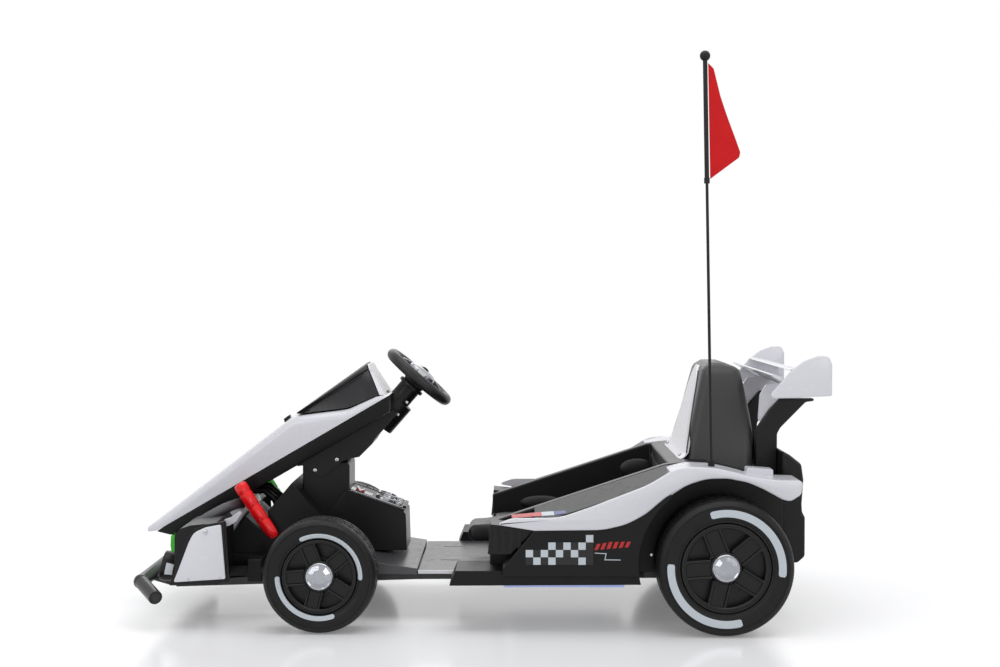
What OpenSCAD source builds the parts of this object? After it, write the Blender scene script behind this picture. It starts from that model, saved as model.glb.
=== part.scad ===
// Electric drift kart for children: X forward, Y to the driver's left, Z up.
// The origin is on the ground, in the middle of the kart's length and width.

/* [Wheels] */
// Distance between the front and rear axles
wheelbase = 703; // [680:1:730]
// Front axle, forward of the middle of the kart
front_axle_x = 270.5; // [255:0.5:285]
// Diameter of the front tyres
front_tyre_d = 199; // [180:1:205]
// Width of the front tyres
front_tyre_w = 85; // [70:1:90]
// Distance between the middles of the front tyres
front_track = 565; // [555:1:580]
// Diameter of the rear tyres
rear_tyre_d = 237; // [215:1:245]
// Width of the rear tyres
rear_tyre_w = 110; // [90:1:114]
// Distance between the middles of the rear tyres
rear_track = 590; // [585:1:605]
// Diameter of the axles inside the wheel hubs
axle_d = 16; // [12:1:20]
// Radius of the rim flange as a share of the tyre's radius
rim_share = 0.66; // [0.6:0.01:0.7]
// Number of paired spoke ridges on a rim
spoke_pairs = 5; // [4:1:6]

/* [Steering] */
// Outer diameter of the steering wheel
steer_wheel_d = 153; // [140:1:170]
// Thickness of the steering wheel's rim
steer_rim_d = 21; // [16:1:24]
// Slope of the steering column above the horizontal
column_tilt = 49; // [45:1:55]
// Height of the middle of the steering wheel
steer_wheel_z = 431; // [420:1:440]
// Distance of the steering wheel's middle behind the front axle
steer_wheel_back = 157.5; // [150:0.5:170]
// Distance from the middle of a front tyre in to its kingpin
kingpin_inset = 77.5; // [75:0.5:82]
// Length of each steering arm
steer_arm = 50; // [44:1:54]

/* [Front end] */
// Reach of the nose shell ahead of the front axle
nose_reach = 354.5; // [340:0.5:360]
// Half width of the nose shell at its rear
nose_half_w = 108; // [95:1:112]
// Diameter of the bumper tube
bumper_d = 25; // [20:1:28]
// Distance of the bumper's bends from the middle plane
bumper_bend_y = 240; // [225:1:250]
// Distance of the side plates from the middle plane
plate_y = 284; // [270:1:292]
// Diameter of the shock struts at their thick end
strut_d = 25; // [20:1:27]

/* [Body] */
// Clearance between the floor's edge and the kingpins
floor_gap = 20; // [18:1:30]
// Height of the rear floor's top
floor_z = 90; // [86:1:94]
// Clearance between the body and the rear tyres' inner faces
wall_gap = 16; // [14:1:22]
// Thickness of the cockpit walls
wall_t = 26; // [16:1:30]
// Reach of the side pods' outer faces beyond the middles of the rear tyres
pod_reach = 19; // [11:1:23]
// Radius of the rear wheel arches
arch_r = 148; // [140:1:152]
// Clearance between the seat cushion and each cockpit wall
cushion_gap = 28; // [20:1:40]
// Height of the seat cushion's top
cushion_z = 155; // [150:1:165]

/* [Rear wing and flag] */
// Distance of the wing fins from the middle plane
fin_y = 270; // [260:1:280]
// Distance of the wing posts from the middle plane
post_y = 130; // [110:1:145]
// Reach of the wing fins behind the rear axle
fin_reach = 192.5; // [185:0.5:200]
// Height of the flag pole's ball
flag_z = 1003; // [900:1:1100]
// Distance of the flag pole from the middle plane
flag_y = 288; // [270:1:300]

/* [Hidden] */
$fn = 48;
rear_axle_x = front_axle_x - wheelbase;
front_r = front_tyre_d / 2;
rear_r = rear_tyre_d / 2;
axle_r = axle_d / 2;
run_gap = 0.06;
kingpin_y = front_track / 2 - kingpin_inset;
rail_w = 24;
kingpin_r = 5;
arm_pin_r = 4;
tie_rod_z = 93;
tie_rod_h = 8;
tie_rod_x = front_axle_x + steer_arm;
shaft_r = 8;
box_half_w = kingpin_y - 90;
hood_half_w = box_half_w - 15;
pillar_half_w = 58;
console_half_w = 64;
plate_t = 6;
panel_t = 6;
fin_t = 6;
pole_lean = 13;
fender_top_z = 289;
floor_half_w = kingpin_y - floor_gap;
wall_y = rear_track / 2 - rear_tyre_w / 2 - wall_gap;
cushion_w = 2 * (wall_y - wall_t - cushion_gap);
motor_y = wall_y + 4;
pod_y = rear_track / 2 + pod_reach;
// The rails run inside the kingpins and the cockpit walls
rail_y = min(kingpin_y - 55, wall_y - 74);
steer_wheel_x = front_axle_x - steer_wheel_back;
strut_y = max(box_half_w, nose_half_w + 7) + 15;
strut_top = [438, 241];
strut_foot = [372, 142];
nose_mid_half_w = 93;
lamp_x = 527;
lamp_y = 232;
lamp_z = 100;
lamp_tilt = 78;
seat_gap = 0.3;
housing_r = 30;
housing_end = 118;
cockpit_floor_z = 104;
cockpit_rear_x = -345;
spoke_phase = 22;
// Places of the axles, and the front end of the cockpit, at which the side outlines are drawn
drawn_front_axle_x = 270.5;
drawn_rear_axle_x = -432.5;
cockpit_front = 105;
nose_tip_x = drawn_front_axle_x + nose_reach;
drawn_nose_tip_x = 625;
nose_root_x = 340;
fin_end_x = drawn_rear_axle_x - fin_reach;

// Where a point of a side outline lies along the kart: ahead of the cockpit it keeps to the front axle,
// behind the rear axle it keeps to that one, and the cockpit between them takes up a change
function along(x) =
    x >= cockpit_front ? x + front_axle_x - drawn_front_axle_x
    : x <= drawn_rear_axle_x ? x + rear_axle_x - drawn_rear_axle_x
    : rear_axle_x + (x - drawn_rear_axle_x) / (cockpit_front - drawn_rear_axle_x)
        * (cockpit_front + front_axle_x - drawn_front_axle_x - rear_axle_x);

// Where a point of the nose lies, with its tip at the nose's reach
function nose_at(x) =
    nose_root_x + (x - nose_root_x) * (nose_tip_x - nose_root_x) / (drawn_nose_tip_x - nose_root_x);

// A rectangle as a side outline
function span(x0, x1, z0, z1) = [[x0, z0], [x1, z0], [x1, z1], [x0, z1]];

// A side outline given as x and z, as a solid from y0 to y1
module slab(y0, y1, outline) {
    translate([0, y1, 0]) rotate([90, 0, 0]) linear_extrude(y1 - y0)
        polygon([for (p = outline) [along(p[0]), p[1]]]);
}

// A piece on the left and its mirror image on the right
module both_sides() {
    children();
    mirror([0, 1, 0]) children();
}

// A round bar between two points
module rod(p, q, r) {
    d = q - p;
    translate(p)
        rotate([0, acos(d[2] / norm(d)), atan2(d[1], d[0])])
            cylinder(h = norm(d), r = r);
}

// A round bar that passes through a list of points, with a ball at each bend
module pipe(points, r) {
    ball_extra = 1;
    for (i = [0 : len(points) - 2]) rod(points[i], points[i + 1], r);
    for (i = [1 : len(points) - 2]) translate(points[i]) sphere(r + ball_extra);
}

// The column's frame: its axis is up the column, the wheel's middle at zero
module on_column() {
    translate([steer_wheel_x, 0, steer_wheel_z]) rotate([0, column_tilt - 90, 0]) children();
}

// Steel frame: two rails, cross members, front axle beam with kingpins, rear axle brackets
module chassis_frame() {
    rail = [[548, 56], [548, 74], [110, 82], [-25, 82], [-25, 92], [-548, 92], [-548, 74], [110, 70]];
    lug_y = kingpin_y - 15;
    bracket_w = 14;
    color("#242426") {
        both_sides() slab(rail_y - rail_w / 2, rail_y + rail_w / 2, rail);
        for (x = [530, 440, 120, -60, -340, -535]) slab(-rail_y, rail_y, span(x - 10, x + 10, 72, 79));
        translate([front_axle_x - 15, -lug_y, front_r - 10]) cube([30, 2 * lug_y, 20]);
        both_sides() {
            translate([front_axle_x - 15, lug_y - 6, front_r - 27]) cube([30, 6, 54]);
            for (z = [front_r - 27, front_r + 19])
                translate([front_axle_x - 15, lug_y - 1, z]) cube([30, 27, 8]);
            translate([front_axle_x, kingpin_y, front_r - 31]) cylinder(h = 62, r = kingpin_r);
            difference() {
                translate([rear_axle_x - 22, rail_y - bracket_w / 2, 80])
                    cube([44, bracket_w, 64]);
                translate([rear_axle_x, rail_y - bracket_w, rear_r]) rotate([-90, 0, 0])
                    cylinder(h = 2 * bracket_w, r = axle_r + run_gap);
            }
        }
    }
}

// Front bumper: one bent tube and the braces that carry it
module bumper() {
    r = bumper_d / 2;
    bend = [along(608) - r, bumper_bend_y, 78];
    tip = [along(558), 300, 60];
    bar_x = along(548);
    color("#2b2b2d") {
        pipe([tip, bend, [bend[0], -bend[1], bend[2]], [tip[0], -tip[1], tip[2]]], r);
        both_sides() {
            rod([bend[0], rail_y, bend[2] - 4], [bar_x + 12, rail_y, 64], 7);
            rod([bend[0], 60, bend[2] - 2], [bar_x + 8, 60, 66], 6);
        }
        translate([bar_x, -rail_y - rail_w / 2, 58]) cube([12, 2 * rail_y + rail_w, 14]);
    }
}

// Housings behind the side plates, which carry the lamps
module front_housings() {
    outline = [[449, 80], [449, 178], [456, 188], [500, 184], [518, 178], [528, 166], [528, 80]];
    backing = [[537, 79], [431, 85], [438, 192], [473, 186], [493, 175], [505, 160], [527, 104]];
    color("#2a2a2c") both_sides() {
        slab(box_half_w + 8, plate_y - 3, outline);
        slab(plate_y - 4, plate_y, backing);
    }
}

// White side plates with their black rim behind
module front_plates() {
    white = [[532, 84], [436, 90], [443, 187], [472, 181], [490, 171], [501, 157], [522, 103]];
    color("white") both_sides() slab(plate_y, plate_y + plate_t, white);
}

// The left lamp's frame: it looks forward and a little up
module at_lamp() {
    translate([along(lamp_x), lamp_y, lamp_z]) rotate([0, lamp_tilt, 0]) children();
}

// Round lamp bodies at the front corners
module lamp_pods() {
    color("#2a2a2c") difference() {
        both_sides() at_lamp() difference() {
            union() {
                cylinder(h = 22, r1 = 22, r2 = 27);
                translate([0, 0, 22]) cylinder(h = 8, r = 27);
            }
            translate([0, 0, 18]) cylinder(h = 20, r = 19);
        }
        front_housings();
    }
}

// White lenses inside the lamps
module lamp_lenses() {
    color("#f4f6f8") both_sides() at_lamp() translate([0, 0, 18]) cylinder(h = 8, r = 19 - seat_gap);
}

// White hood body under the nose
module front_hood() {
    outline = [[329, 272], [322, 245], [345, 241], [390, 187], [428, 180], [464, 131], [464, 80],
        [552, 80], [561, 94], [556, 122], [538, 146], [491, 176], [433, 211]];
    color("#f2f2f2") difference() {
        slab(-hood_half_w, hood_half_w, outline);
        nose_bracket();
        pillar();
    }
}

// Green lip across the front of the hood
module front_grille() {
    outline = [[569, 141], [558, 141], [556, 124], [561, 96], [566, 99], [570, 122]];
    color("#2fae2b") difference() {
        slab(-hood_half_w - 4, hood_half_w + 4, outline);
        nose_band();
        front_hood();
    }
}

// A shock strut, thicker at its top, with a pin at each end that holds it
module strut() {
    top = [along(strut_top[0]), strut_y, strut_top[1]];
    foot = [along(strut_foot[0]), strut_y, strut_foot[1]];
    axis = (top - foot) / norm(top - foot);
    pitch = atan2(axis[0], axis[2]);
    length = norm(top - foot);
    translate(foot) rotate([0, pitch, 0]) rotate_extrude()
        polygon([[0, 0], [7, 0], [9.5, 4], [10.5, 14], [11, 60], [strut_d / 2, length - 12],
            [strut_d / 2 - 2, length - 3], [7, length], [0, length]]);
    foot_pin = foot + 10 * axis;
    top_pin = top - 14 * axis;
    rod(foot_pin, [foot_pin[0], box_half_w + seat_gap, foot_pin[2]], 4);
    rod(top_pin, [top_pin[0], nose_mid_half_w, top_pin[2]], 4);
}

module strut_left() {
    color("#c8141c") strut();
}

module strut_right() {
    color("#2fae2b") mirror([0, 1, 0]) strut();
}

// Plan of the nose: half widths at stations along the kart
module nose_plan(grow) {
    half = [[nose_tip_x, 44], [nose_at(590), 62], [nose_at(430), nose_mid_half_w],
        [300, nose_half_w], [150, nose_half_w]];
    left = [for (s = half) [along(s[0]), s[1] + grow]];
    right = [for (i = [len(half) - 1 : -1 : 0]) [along(half[i][0]), -half[i][1] - grow]];
    linear_extrude(500) polygon(concat(left, right));
}

// White upper shell of the nose, with the rim strip behind the cowl
module nose_shell() {
    color("white") difference() {
        nose_skin();
        column_seat();
    }
}

// Outline of the strip behind the cowl
function cowl_rim() = [[214, 462], [207, 462], [157, 402], [169, 402]];

module nose_skin() {
    side = [[nose_tip_x, 141], [nose_tip_x - 2, 149], [nose_root_x, 366], [240, 378], [184, 402],
        [163, 402], [nose_at(606), 143]];
    union() {
        intersection() {
            slab(-nose_half_w, nose_half_w, side);
            nose_plan(0);
            nose_crown();
        }
        intersection() {
            slab(-nose_half_w, nose_half_w, cowl_rim());
            cowl_taper(2);
        }
    }
}

// Rounds the long upper edges of the nose: a broad arch run along its slope
module nose_crown() {
    slope = atan2(225, nose_tip_x - nose_root_x);
    translate([along(nose_tip_x), 0, 141]) rotate([0, slope - 90, 0])
        translate([-30, 0, -60]) linear_extrude(640) hull() both_sides() {
            translate([18, 70]) circle(22, $fn = 32);
            translate([-240, 91]) square([10, 20], center = true);
        }
}

// Black band along the sides and bottom of the nose
module nose_band() {
    side = [[nose_at(606), 143], [163, 402], [160, 372], [nose_at(571), 134]];
    color("#2a2a2c") difference() {
        intersection() {
            slab(-nose_half_w, nose_half_w, side);
            nose_plan(-1);
        }
        column_seat();
    }
}

// Front view of the cowl: narrower at its top
module cowl_taper(grow) {
    translate([steer_wheel_x - 13, 0, 0]) rotate([90, 0, 90]) linear_extrude(300)
        polygon([[-96 - grow, 350], [-94 - grow, 390], [-66 - grow, 450], [-50, 462 + grow],
            [50, 462 + grow], [66 + grow, 450], [94 + grow, 390], [96 + grow, 350]]);
}

// Black cowl in front of the steering wheel
module cowl() {
    side = [[340, 366], [213, 459], [206, 459], [170, 402], [184, 402], [240, 378]];
    color("#333335") difference() {
        intersection() {
            slab(-nose_half_w, nose_half_w, side);
            cowl_taper(0);
        }
        slab(-nose_half_w - 4, nose_half_w + 4, cowl_rim());
        column_seat();
    }
}

// Bracket under the nose with an ear on each side of the pillar
module nose_bracket() {
    beam = [[340, 266], [330, 274], [160, 372], [150, 366], [192, 318], [198, 308], [222, 284], [242, 280]];
    ear = [[336, 272], [302, 252], [293, 248], [284, 252], [255, 275], [242, 280], [235, 310],
        [300, 300]];
    color("#262628") {
        difference() {
            slab(-pillar_half_w - 8, pillar_half_w + 8, beam);
            nose_band();
            column_seat();
            slab(-pillar_half_w, pillar_half_w, [[345, 240], [345, 274], [240, 274], [240, 240]]);
        }
        difference() {
            both_sides() slab(pillar_half_w, pillar_half_w + 8, ear);
            nose_band();
        }
    }
}

// Room for the column housing in what carries it
module column_seat() {
    on_column() {
        translate([0, 0, -housing_end - seat_gap]) cylinder(h = 61, r = housing_r + seat_gap);
        translate([0, 0, -60]) cylinder(h = 60, r = 26 + seat_gap);
    }
}

// Housing of the steering column, bored for the shaft
module column_housing() {
    color("#262628") on_column() difference() {
        union() {
            translate([0, 0, -26]) cylinder(h = 6, r = 26);
            translate([0, 0, -60]) cylinder(h = 36, r = 21);
            translate([0, 0, -housing_end]) cylinder(h = 60, r = housing_r);
        }
        translate([0, 0, -120]) cylinder(h = 110, r = shaft_r + run_gap);
    }
}

// Centre pillar that carries the nose and the column
module pillar() {
    outline = [[329, 130], [329, 273], [245, 273], [241, 268], [241, 130]];
    color("#2a2a2c") slab(-pillar_half_w, pillar_half_w, outline);
}

// Stepped boxes in front of the pillar, slotted for the tie rod
module front_boxes() {
    rear_box = [[343, 240], [387, 188], [384, 109], [244, 109], [244, 140], [284, 171]];
    front_box = [[428, 179], [462, 131], [462, 109], [380, 109], [380, 134]];
    base = [[462, 82], [462, 110], [232, 110], [232, 82]];
    color("#2a2a2c") difference() {
        union() {
            slab(-box_half_w, box_half_w, rear_box);
            slab(-box_half_w, box_half_w, front_box);
            slab(-box_half_w - 8, box_half_w + 8, base);
        }
        pillar();
        translate([tie_rod_x - 14, -box_half_w - 20, tie_rod_z - 6])
            cube([28, 2 * box_half_w + 40, tie_rod_h + 12]);
        translate([front_axle_x - 15.2, -box_half_w - 20, front_r - 10.2])
            cube([30.4, 2 * box_half_w + 40, 20.4]);
    }
}

// Console behind the pillar
module console_box() {
    outline = [[247, 219], [140, 182], [135, 176], [133, 108], [245, 108], [245, 160], [284, 171]];
    color("#2c2c2e") difference() {
        slab(-console_half_w, console_half_w, outline);
        pillar();
        front_boxes();
        floor_front();
    }
}

// Silver panel on the console's sloping top
module console_panel() {
    outline = [[247, 219], [138, 181.5], [137, 185], [247, 223]];
    color("#c9ccd0") difference() {
        slab(-console_half_w + 2, console_half_w + 1, outline);
        pillar();
    }
}

// Rocker switch on the panel
module rocker_switch() {
    outline = [[232, 216.5], [214, 210.5], [214, 220], [222, 218], [228, 226]];
    color("#c01820") difference() {
        slab(20, 46, outline);
        console_panel();
    }
}

// Front floor, which rises towards the boxes
module floor_front() {
    outline = [[107, floor_z + 3], [232, 112], [232, 84], [107, 82]];
    color("#9a9a9e") slab(-floor_half_w, floor_half_w, outline);
}

// Rear floor in front of the seat
module floor_rear() {
    color("#9a9a9e") difference() {
        slab(-floor_half_w + 4, floor_half_w - 4, span(-25, cockpit_front, 82, floor_z));
        for (y = [-110, 60]) slab(y, y + 4, span(34, 70, floor_z - 2, floor_z + 2));
    }
}

// Chrome strips along the floor's edges
module floor_strips() {
    color("#d8dadc") both_sides() slab(floor_half_w - 4, floor_half_w + 3, span(-20, 106, 84, floor_z));
}

// Foot pedal on the driver's right
module pedal() {
    color("#333335") difference() {
        union() {
            slab(-132, -92, [[196, 104], [226, 168], [220, 171], [188, 108]]);
            slab(-120, -104, [[186, 104], [232, 104], [226, 122], [196, 110]]);
        }
        floor_front();
    }
}

// Rear body: hollow cockpit walls, seat base and the closed box over the axle
module tub() {
    outline = [[-25, 92], [-25, 183], [-337, 286], [-367, 290], [-415, 288], [-478, 272],
        [-549, 262], [-549, 160], [-350, 160], [-350, 92]];
    color("#303033") difference() {
        slab(-wall_y, wall_y, outline);
        slab(-wall_y + wall_t, wall_y - wall_t, span(cockpit_rear_x, 55, cockpit_floor_z, 404));
        slab(-wall_y + 8, wall_y - 8, span(-540, -356, 168, 252));
    }
}

// Side pods between the cockpit wall and the outside, cut for the rear wheels
module side_pods() {
    outline = [[-104, 240], [-104, 181], [-48, 114], [-48, 100], [-341, 100], [-341, 300]];
    color("#2a2a2c") both_sides() difference() {
        intersection() {
            slab(wall_y, pod_y, outline);
            pod_roof();
        }
        wheel_arch();
    }
}

// Block whose top slopes outwards and up to the rear, as the pods' tops do
module pod_roof() {
    translate([along(-26), wall_y, 184]) rotate([0, 18, 0]) rotate([-11, 0, 0])
        translate([-600, -20, -300]) cube([700, 200, 300]);
}

module wheel_arch() {
    translate([rear_axle_x, wall_y - 1, rear_r]) rotate([-90, 0, 0]) cylinder(h = 120, r = arch_r);
}

// Low skirts under the pods
module side_skirts() {
    outline = [[45, 82], [34, 108], [-48, 108], [-48, 100], [-300, 100], [-300, 84]];
    color("#303033") both_sides() difference() {
        slab(floor_half_w + 3, pod_y - 10, outline);
        slab(0, wall_y, span(-360, -25, 92, 120));
        wheel_arch();
    }
}

// White side stripe and the fender over each rear wheel
module pod_panels() {
    stripe = [[-33, 192], [-66, 202], [-145, 202], [-203, 222], [-300, 259], [-341, 284], [-345, 243],
        [-328, 237], [-299, 212], [-265, 193], [-239, 185], [-178, 181], [-104, 180]];
    fender = [[-341, 286], [-367, 291], [-415, fender_top_z], [-448, 282], [-478, 274], [-522, 268],
        [-568, 267], [-562, 241], [-546, 231], [-536, 233], [-515, 244], [-473, 264], [-440, 271],
        [-402, 270], [-377, 264], [-341, 243]];
    color("white") both_sides() {
        slab(pod_y, pod_y + panel_t, stripe);
        slab(wall_y, pod_y + panel_t, fender);
        slab(wall_y, wall_y + 30, [[-480, 270], [-480, 277], [-522, 277], [-522, 266]]);
    }
}

// Ribbed blocks at the front of the pods
module rib_blocks() {
    outline = [[-27, 189], [-104, 181], [-62, 137], [-22, 137]];
    rib_pitch = 14;
    color("#2a2a2c") difference() {
        both_sides() {
            slab(wall_y, pod_y - 12, outline);
            for (i = [0 : 3])
                slab(pod_y - 14, pod_y - 8, span(-38 - rib_pitch * i, -32 - rib_pitch * i,
                    140 + 2 * i, 186 - 2 * i));
        }
        side_pods();
    }
}

// Light strips under the skirts
module glow_strips() {
    color("#9fb8ff") difference() {
        both_sides() slab(pod_y - 28, pod_y - 18, span(-260, -50, 78, 84));
        side_skirts();
    }
}

// Seat cushion in the cockpit
module seat_cushion() {
    bottom = cockpit_floor_z + seat_gap;
    outline = [[20, cushion_z], [30, 130], [26, 120], [-24, bottom], [-337, bottom], [-337, cushion_z]];
    color("#3a3a3e") slab(-cushion_w / 2, cushion_w / 2, outline);
}

// Front view of the seat back: narrow and rounded at the top
module seat_outline() {
    translate([along(-560), 0, 0]) rotate([90, 0, 90]) linear_extrude(260)
        polygon([[-160, 255], [-150, 300], [-118, 420], [-104, 448], [-80, 462], [80, 462],
            [104, 448], [118, 420], [150, 300], [160, 255]]);
}

// White front shell of the seat back
module seat_shell() {
    side = [[-338, 255], [-338, 292], [-352, 300], [-374, 304], [-397, 458], [-404, 458], [-384, 286],
        [cockpit_rear_x, 280], [cockpit_rear_x, 255]];
    color("#efeff1") difference() {
        union() {
            intersection() {
                slab(-165, 165, side);
                seat_outline();
            }
            slab(-cushion_w / 2, cushion_w / 2, span(cockpit_rear_x, cockpit_rear_x + 7, cushion_z + 2, 262));
        }
        tub();
    }
}

// Dark back of the seat
module seat_back() {
    side = [[-384, 286], [-404, 458], [-410, 462], [-468, 462], [-482, 449], [-490, 409], [-507, 346],
        [-504, 266], [-384, 266]];
    color("#4a4a4e") difference() {
        intersection() {
            slab(-165, 165, side);
            seat_outline();
        }
        tub();
    }
}

// Posts that carry the rear wing
module wing_posts() {
    outline = [[-510, 262], [-510, 339], [-535, 378], [-554, 398], [-616, 399], [-616, 394],
        [-601, 392], [-555, 345], [-549, 334], [-549, 262]];
    color("#2a2a2c") difference() {
        both_sides() slab(post_y - 12, post_y + 12, outline);
        tub();
    }
}

// Fins at the wing's ends
module wing_fins() {
    outline = [[-511, 406], [-551, 453], [-575, 472], [-593, 479], [-609, 482], [-619, 478],
        [fin_end_x, 466], [fin_end_x, 411]];
    color("white") both_sides() slab(fin_y - fin_t / 2, fin_y + fin_t / 2, outline);
}

// Two blades between the fins and the white arms that hold them on the posts
module wing_blades() {
    upper = [[-551, 460], [-602, 451], [-604, 446], [-552, 452]];
    lower = [[-518, 451], [-532, 448], [-576, 421], [-576, 415], [-540, 434]];
    arm = [[-514, 348], [-535, 380], [-554, 399], [-600, 400], [-590, 450], [-580, 452], [-560, 428],
        [-530, 424], [-518, 405]];
    color("#f2f2f2") {
        for (b = [upper, lower]) slab(-fin_y + fin_t / 2, fin_y - fin_t / 2, b);
        both_sides() slab(post_y - 4, post_y + 4, arm);
    }
}

// Cover at the back of the body
module rear_cover() {
    outline = [[-549, 108], [-549, 308], [-564, 300], [-584, 284], [-588, 256], [-585, 212],
        [-586, 196], [-591, 190], [-591, 118], [-578, 106]];
    color("#2a2a2c") slab(-wall_y + 24, wall_y - 24, outline);
}

// Drive motors with their gears, as plain blocks behind the axle
module motors() {
    color("#6a6a6e") both_sides() slab(rail_y + rail_w / 2, motor_y, span(-528, -448, 88, 150));
}

// Battery, as a plain block in the closed box
module battery() {
    color("#55555a") slab(-75, 75, span(-500, -370, 168 + seat_gap, 248));
}

// Rear axle shaft
module rear_axle() {
    half = rear_track / 2 + rear_tyre_w / 2 - 12;
    color("#a0a2a6") translate([rear_axle_x, -half, rear_r]) rotate([-90, 0, 0])
        cylinder(h = 2 * half, r = axle_r);
}

// Flag pole: thin below, a sleeve above, a ball on top
module flag_pole() {
    foot = [along(-412), flag_y, fender_top_z + 2 * seat_gap];
    top = [foot[0] + pole_lean, flag_y, flag_z];
    joint = foot + (top - foot) * 0.7;
    color("#1c1c1e") {
        rod(foot, joint, 2.6);
        rod(joint, top, 4);
        rod(joint - (top - foot) * 0.01, joint + (top - foot) * 0.004, 5);
        translate(top) sphere(9.3);
        translate(foot) cylinder(h = 10, r = 6);
    }
}

// Red pennant beside the pole
module flag() {
    outline = [[-404.5, 990], [-414, 981], [-426, 933], [-447, 872], [-461, 836], [-459, 827],
        [-408.6, 790]];
    color("#d01818") slab(flag_y - 1, flag_y + 1, outline);
}

// Steering wheel with its spokes and shaft
module steering_wheel() {
    mid_r = (steer_wheel_d - steer_rim_d) / 2;
    color("#2a2a2c") on_column() {
        rotate_extrude($fn = 96) translate([mid_r, 0]) circle(steer_rim_d / 2);
        for (a = [90, 210, 330]) rotate([0, 0, a])
            translate([12, -9, -5]) cube([mid_r - 12, 18, 8]);
        translate([0, 0, -18]) cylinder(h = 20, r = 22);
        translate([0, 0, -112]) cylinder(h = 96, r = shaft_r);
    }
}

// Silver hub cover and horn button on the steering wheel
module steering_hub() {
    color("#c9ccd0") on_column() {
        translate([0, 0, 3]) cylinder(h = 8, r1 = 32, r2 = 26);
        translate([0, 0, 11]) cylinder(h = 6, r = 12);
    }
}

// Tie rod with a long eye over each arm's pin
module tie_rod() {
    travel = steer_arm * (1 - cos(25));
    color("#8a8c90") difference() {
        union() {
            translate([tie_rod_x - 4, -kingpin_y, tie_rod_z]) cube([8, 2 * kingpin_y, tie_rod_h]);
            both_sides() eye(11, travel, tie_rod_h);
        }
        both_sides() translate([0, 0, -1]) eye(arm_pin_r + 2, travel, tie_rod_h + 2);
    }
}

module eye(r, travel, h) {
    for (dx = [0, -travel])
        translate([tie_rod_x + dx, kingpin_y, tie_rod_z]) cylinder(h = h, r = r);
    translate([tie_rod_x - travel, kingpin_y - r, tie_rod_z]) cube([travel, 2 * r, h]);
}

// Knuckle: block on the kingpin, stub axle and steering arm
module knuckle() {
    stub_end = front_track / 2 + front_tyre_w / 2 - 12;
    color("#8a8c90") {
        difference() {
            translate([front_axle_x - 12, kingpin_y - 10, front_r - 17]) cube([24, 20, 34]);
            translate([front_axle_x, kingpin_y, front_r - 20])
                cylinder(h = 40, r = kingpin_r + run_gap);
        }
        translate([front_axle_x, kingpin_y + 8, front_r]) rotate([-90, 0, 0])
            cylinder(h = stub_end - kingpin_y - 8, r = axle_r);
        translate([front_axle_x + 8, kingpin_y - 7, tie_rod_z - 8.3])
            cube([steer_arm - 2, 14, 8]);
        translate([tie_rod_x, kingpin_y, tie_rod_z - 8.3])
            cylinder(h = tie_rod_h + 12, r = arm_pin_r);
        translate([tie_rod_x, kingpin_y, tie_rod_z + tie_rod_h + 0.3]) cylinder(h = 4, r = 8);
    }
}

module knuckle_left() {
    knuckle();
}

module knuckle_right() {
    mirror([0, 1, 0]) knuckle();
}

// A tyre about the Y axis, its middle at zero
module tyre(r, w) {
    bead = rim_share * r;
    rotate([90, 0, 0]) rotate_extrude($fn = 120) hull() {
        for (s = [-1, 1]) {
            translate([r - 0.13 * r, s * (w / 2 - 0.13 * r)]) circle(0.13 * r, $fn = 32);
            translate([bead + 2, s * (w / 2 - 8)]) circle(2, $fn = 32);
        }
    }
}

// A rim about the Y axis, its outer face towards +Y
module rim(r, w) {
    bead = rim_share * r;
    face = w / 2 - 12;
    ridge_r = bead - 6;
    difference() {
        union() {
            rotate([-90, 0, 0]) rotate_extrude($fn = 120)
                polygon([[axle_r, -w / 2 + 14], [bead - 0.02, -w / 2 + 14], [bead - 0.02, face + 4],
                    [bead - 5, face + 4], [bead - 7, face - 6], [0.26 * r, face - 8],
                    [0.26 * r, face + 2], [0.2 * r, face + 4], [axle_r, face + 4]]);
            for (i = [0 : spoke_pairs - 1], side = [-1, 1])
                rotate([0, 360 / spoke_pairs * i + spoke_phase, 0])
                    translate([side * 0.12 * r - 1.5, face - 8, 0])
                    cube([3, 6, ridge_r - 1]);
        }
        rotate([-90, 0, 0]) translate([0, 0, -w]) cylinder(h = 2 * w, r = axle_r + run_gap);
    }
    rotate([-90, 0, 0]) translate([0, 0, face + 3.5]) cylinder(h = 5, r = 0.2 * r);
}

// Puts a wheel's piece at its axle: front or rear, left or right
module at_wheel(front, side) {
    x = front ? front_axle_x : rear_axle_x;
    y = (front ? front_track : rear_track) / 2;
    z = front ? front_r : rear_r;
    mirror([0, side > 0 ? 0 : 1, 0]) translate([x, y, z]) children();
}

module front_tyre(side) {
    color("#1b1b1c") at_wheel(true, side) tyre(front_r, front_tyre_w);
}

module rear_tyre(side) {
    color("#1b1b1c") at_wheel(false, side) tyre(rear_r, rear_tyre_w);
}

module front_rim(side) {
    color("#2a2a2c") at_wheel(true, side) rim(front_r, front_tyre_w);
}

module rear_rim(side) {
    color("#2a2a2c") at_wheel(false, side) rim(rear_r, rear_tyre_w);
}

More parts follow.
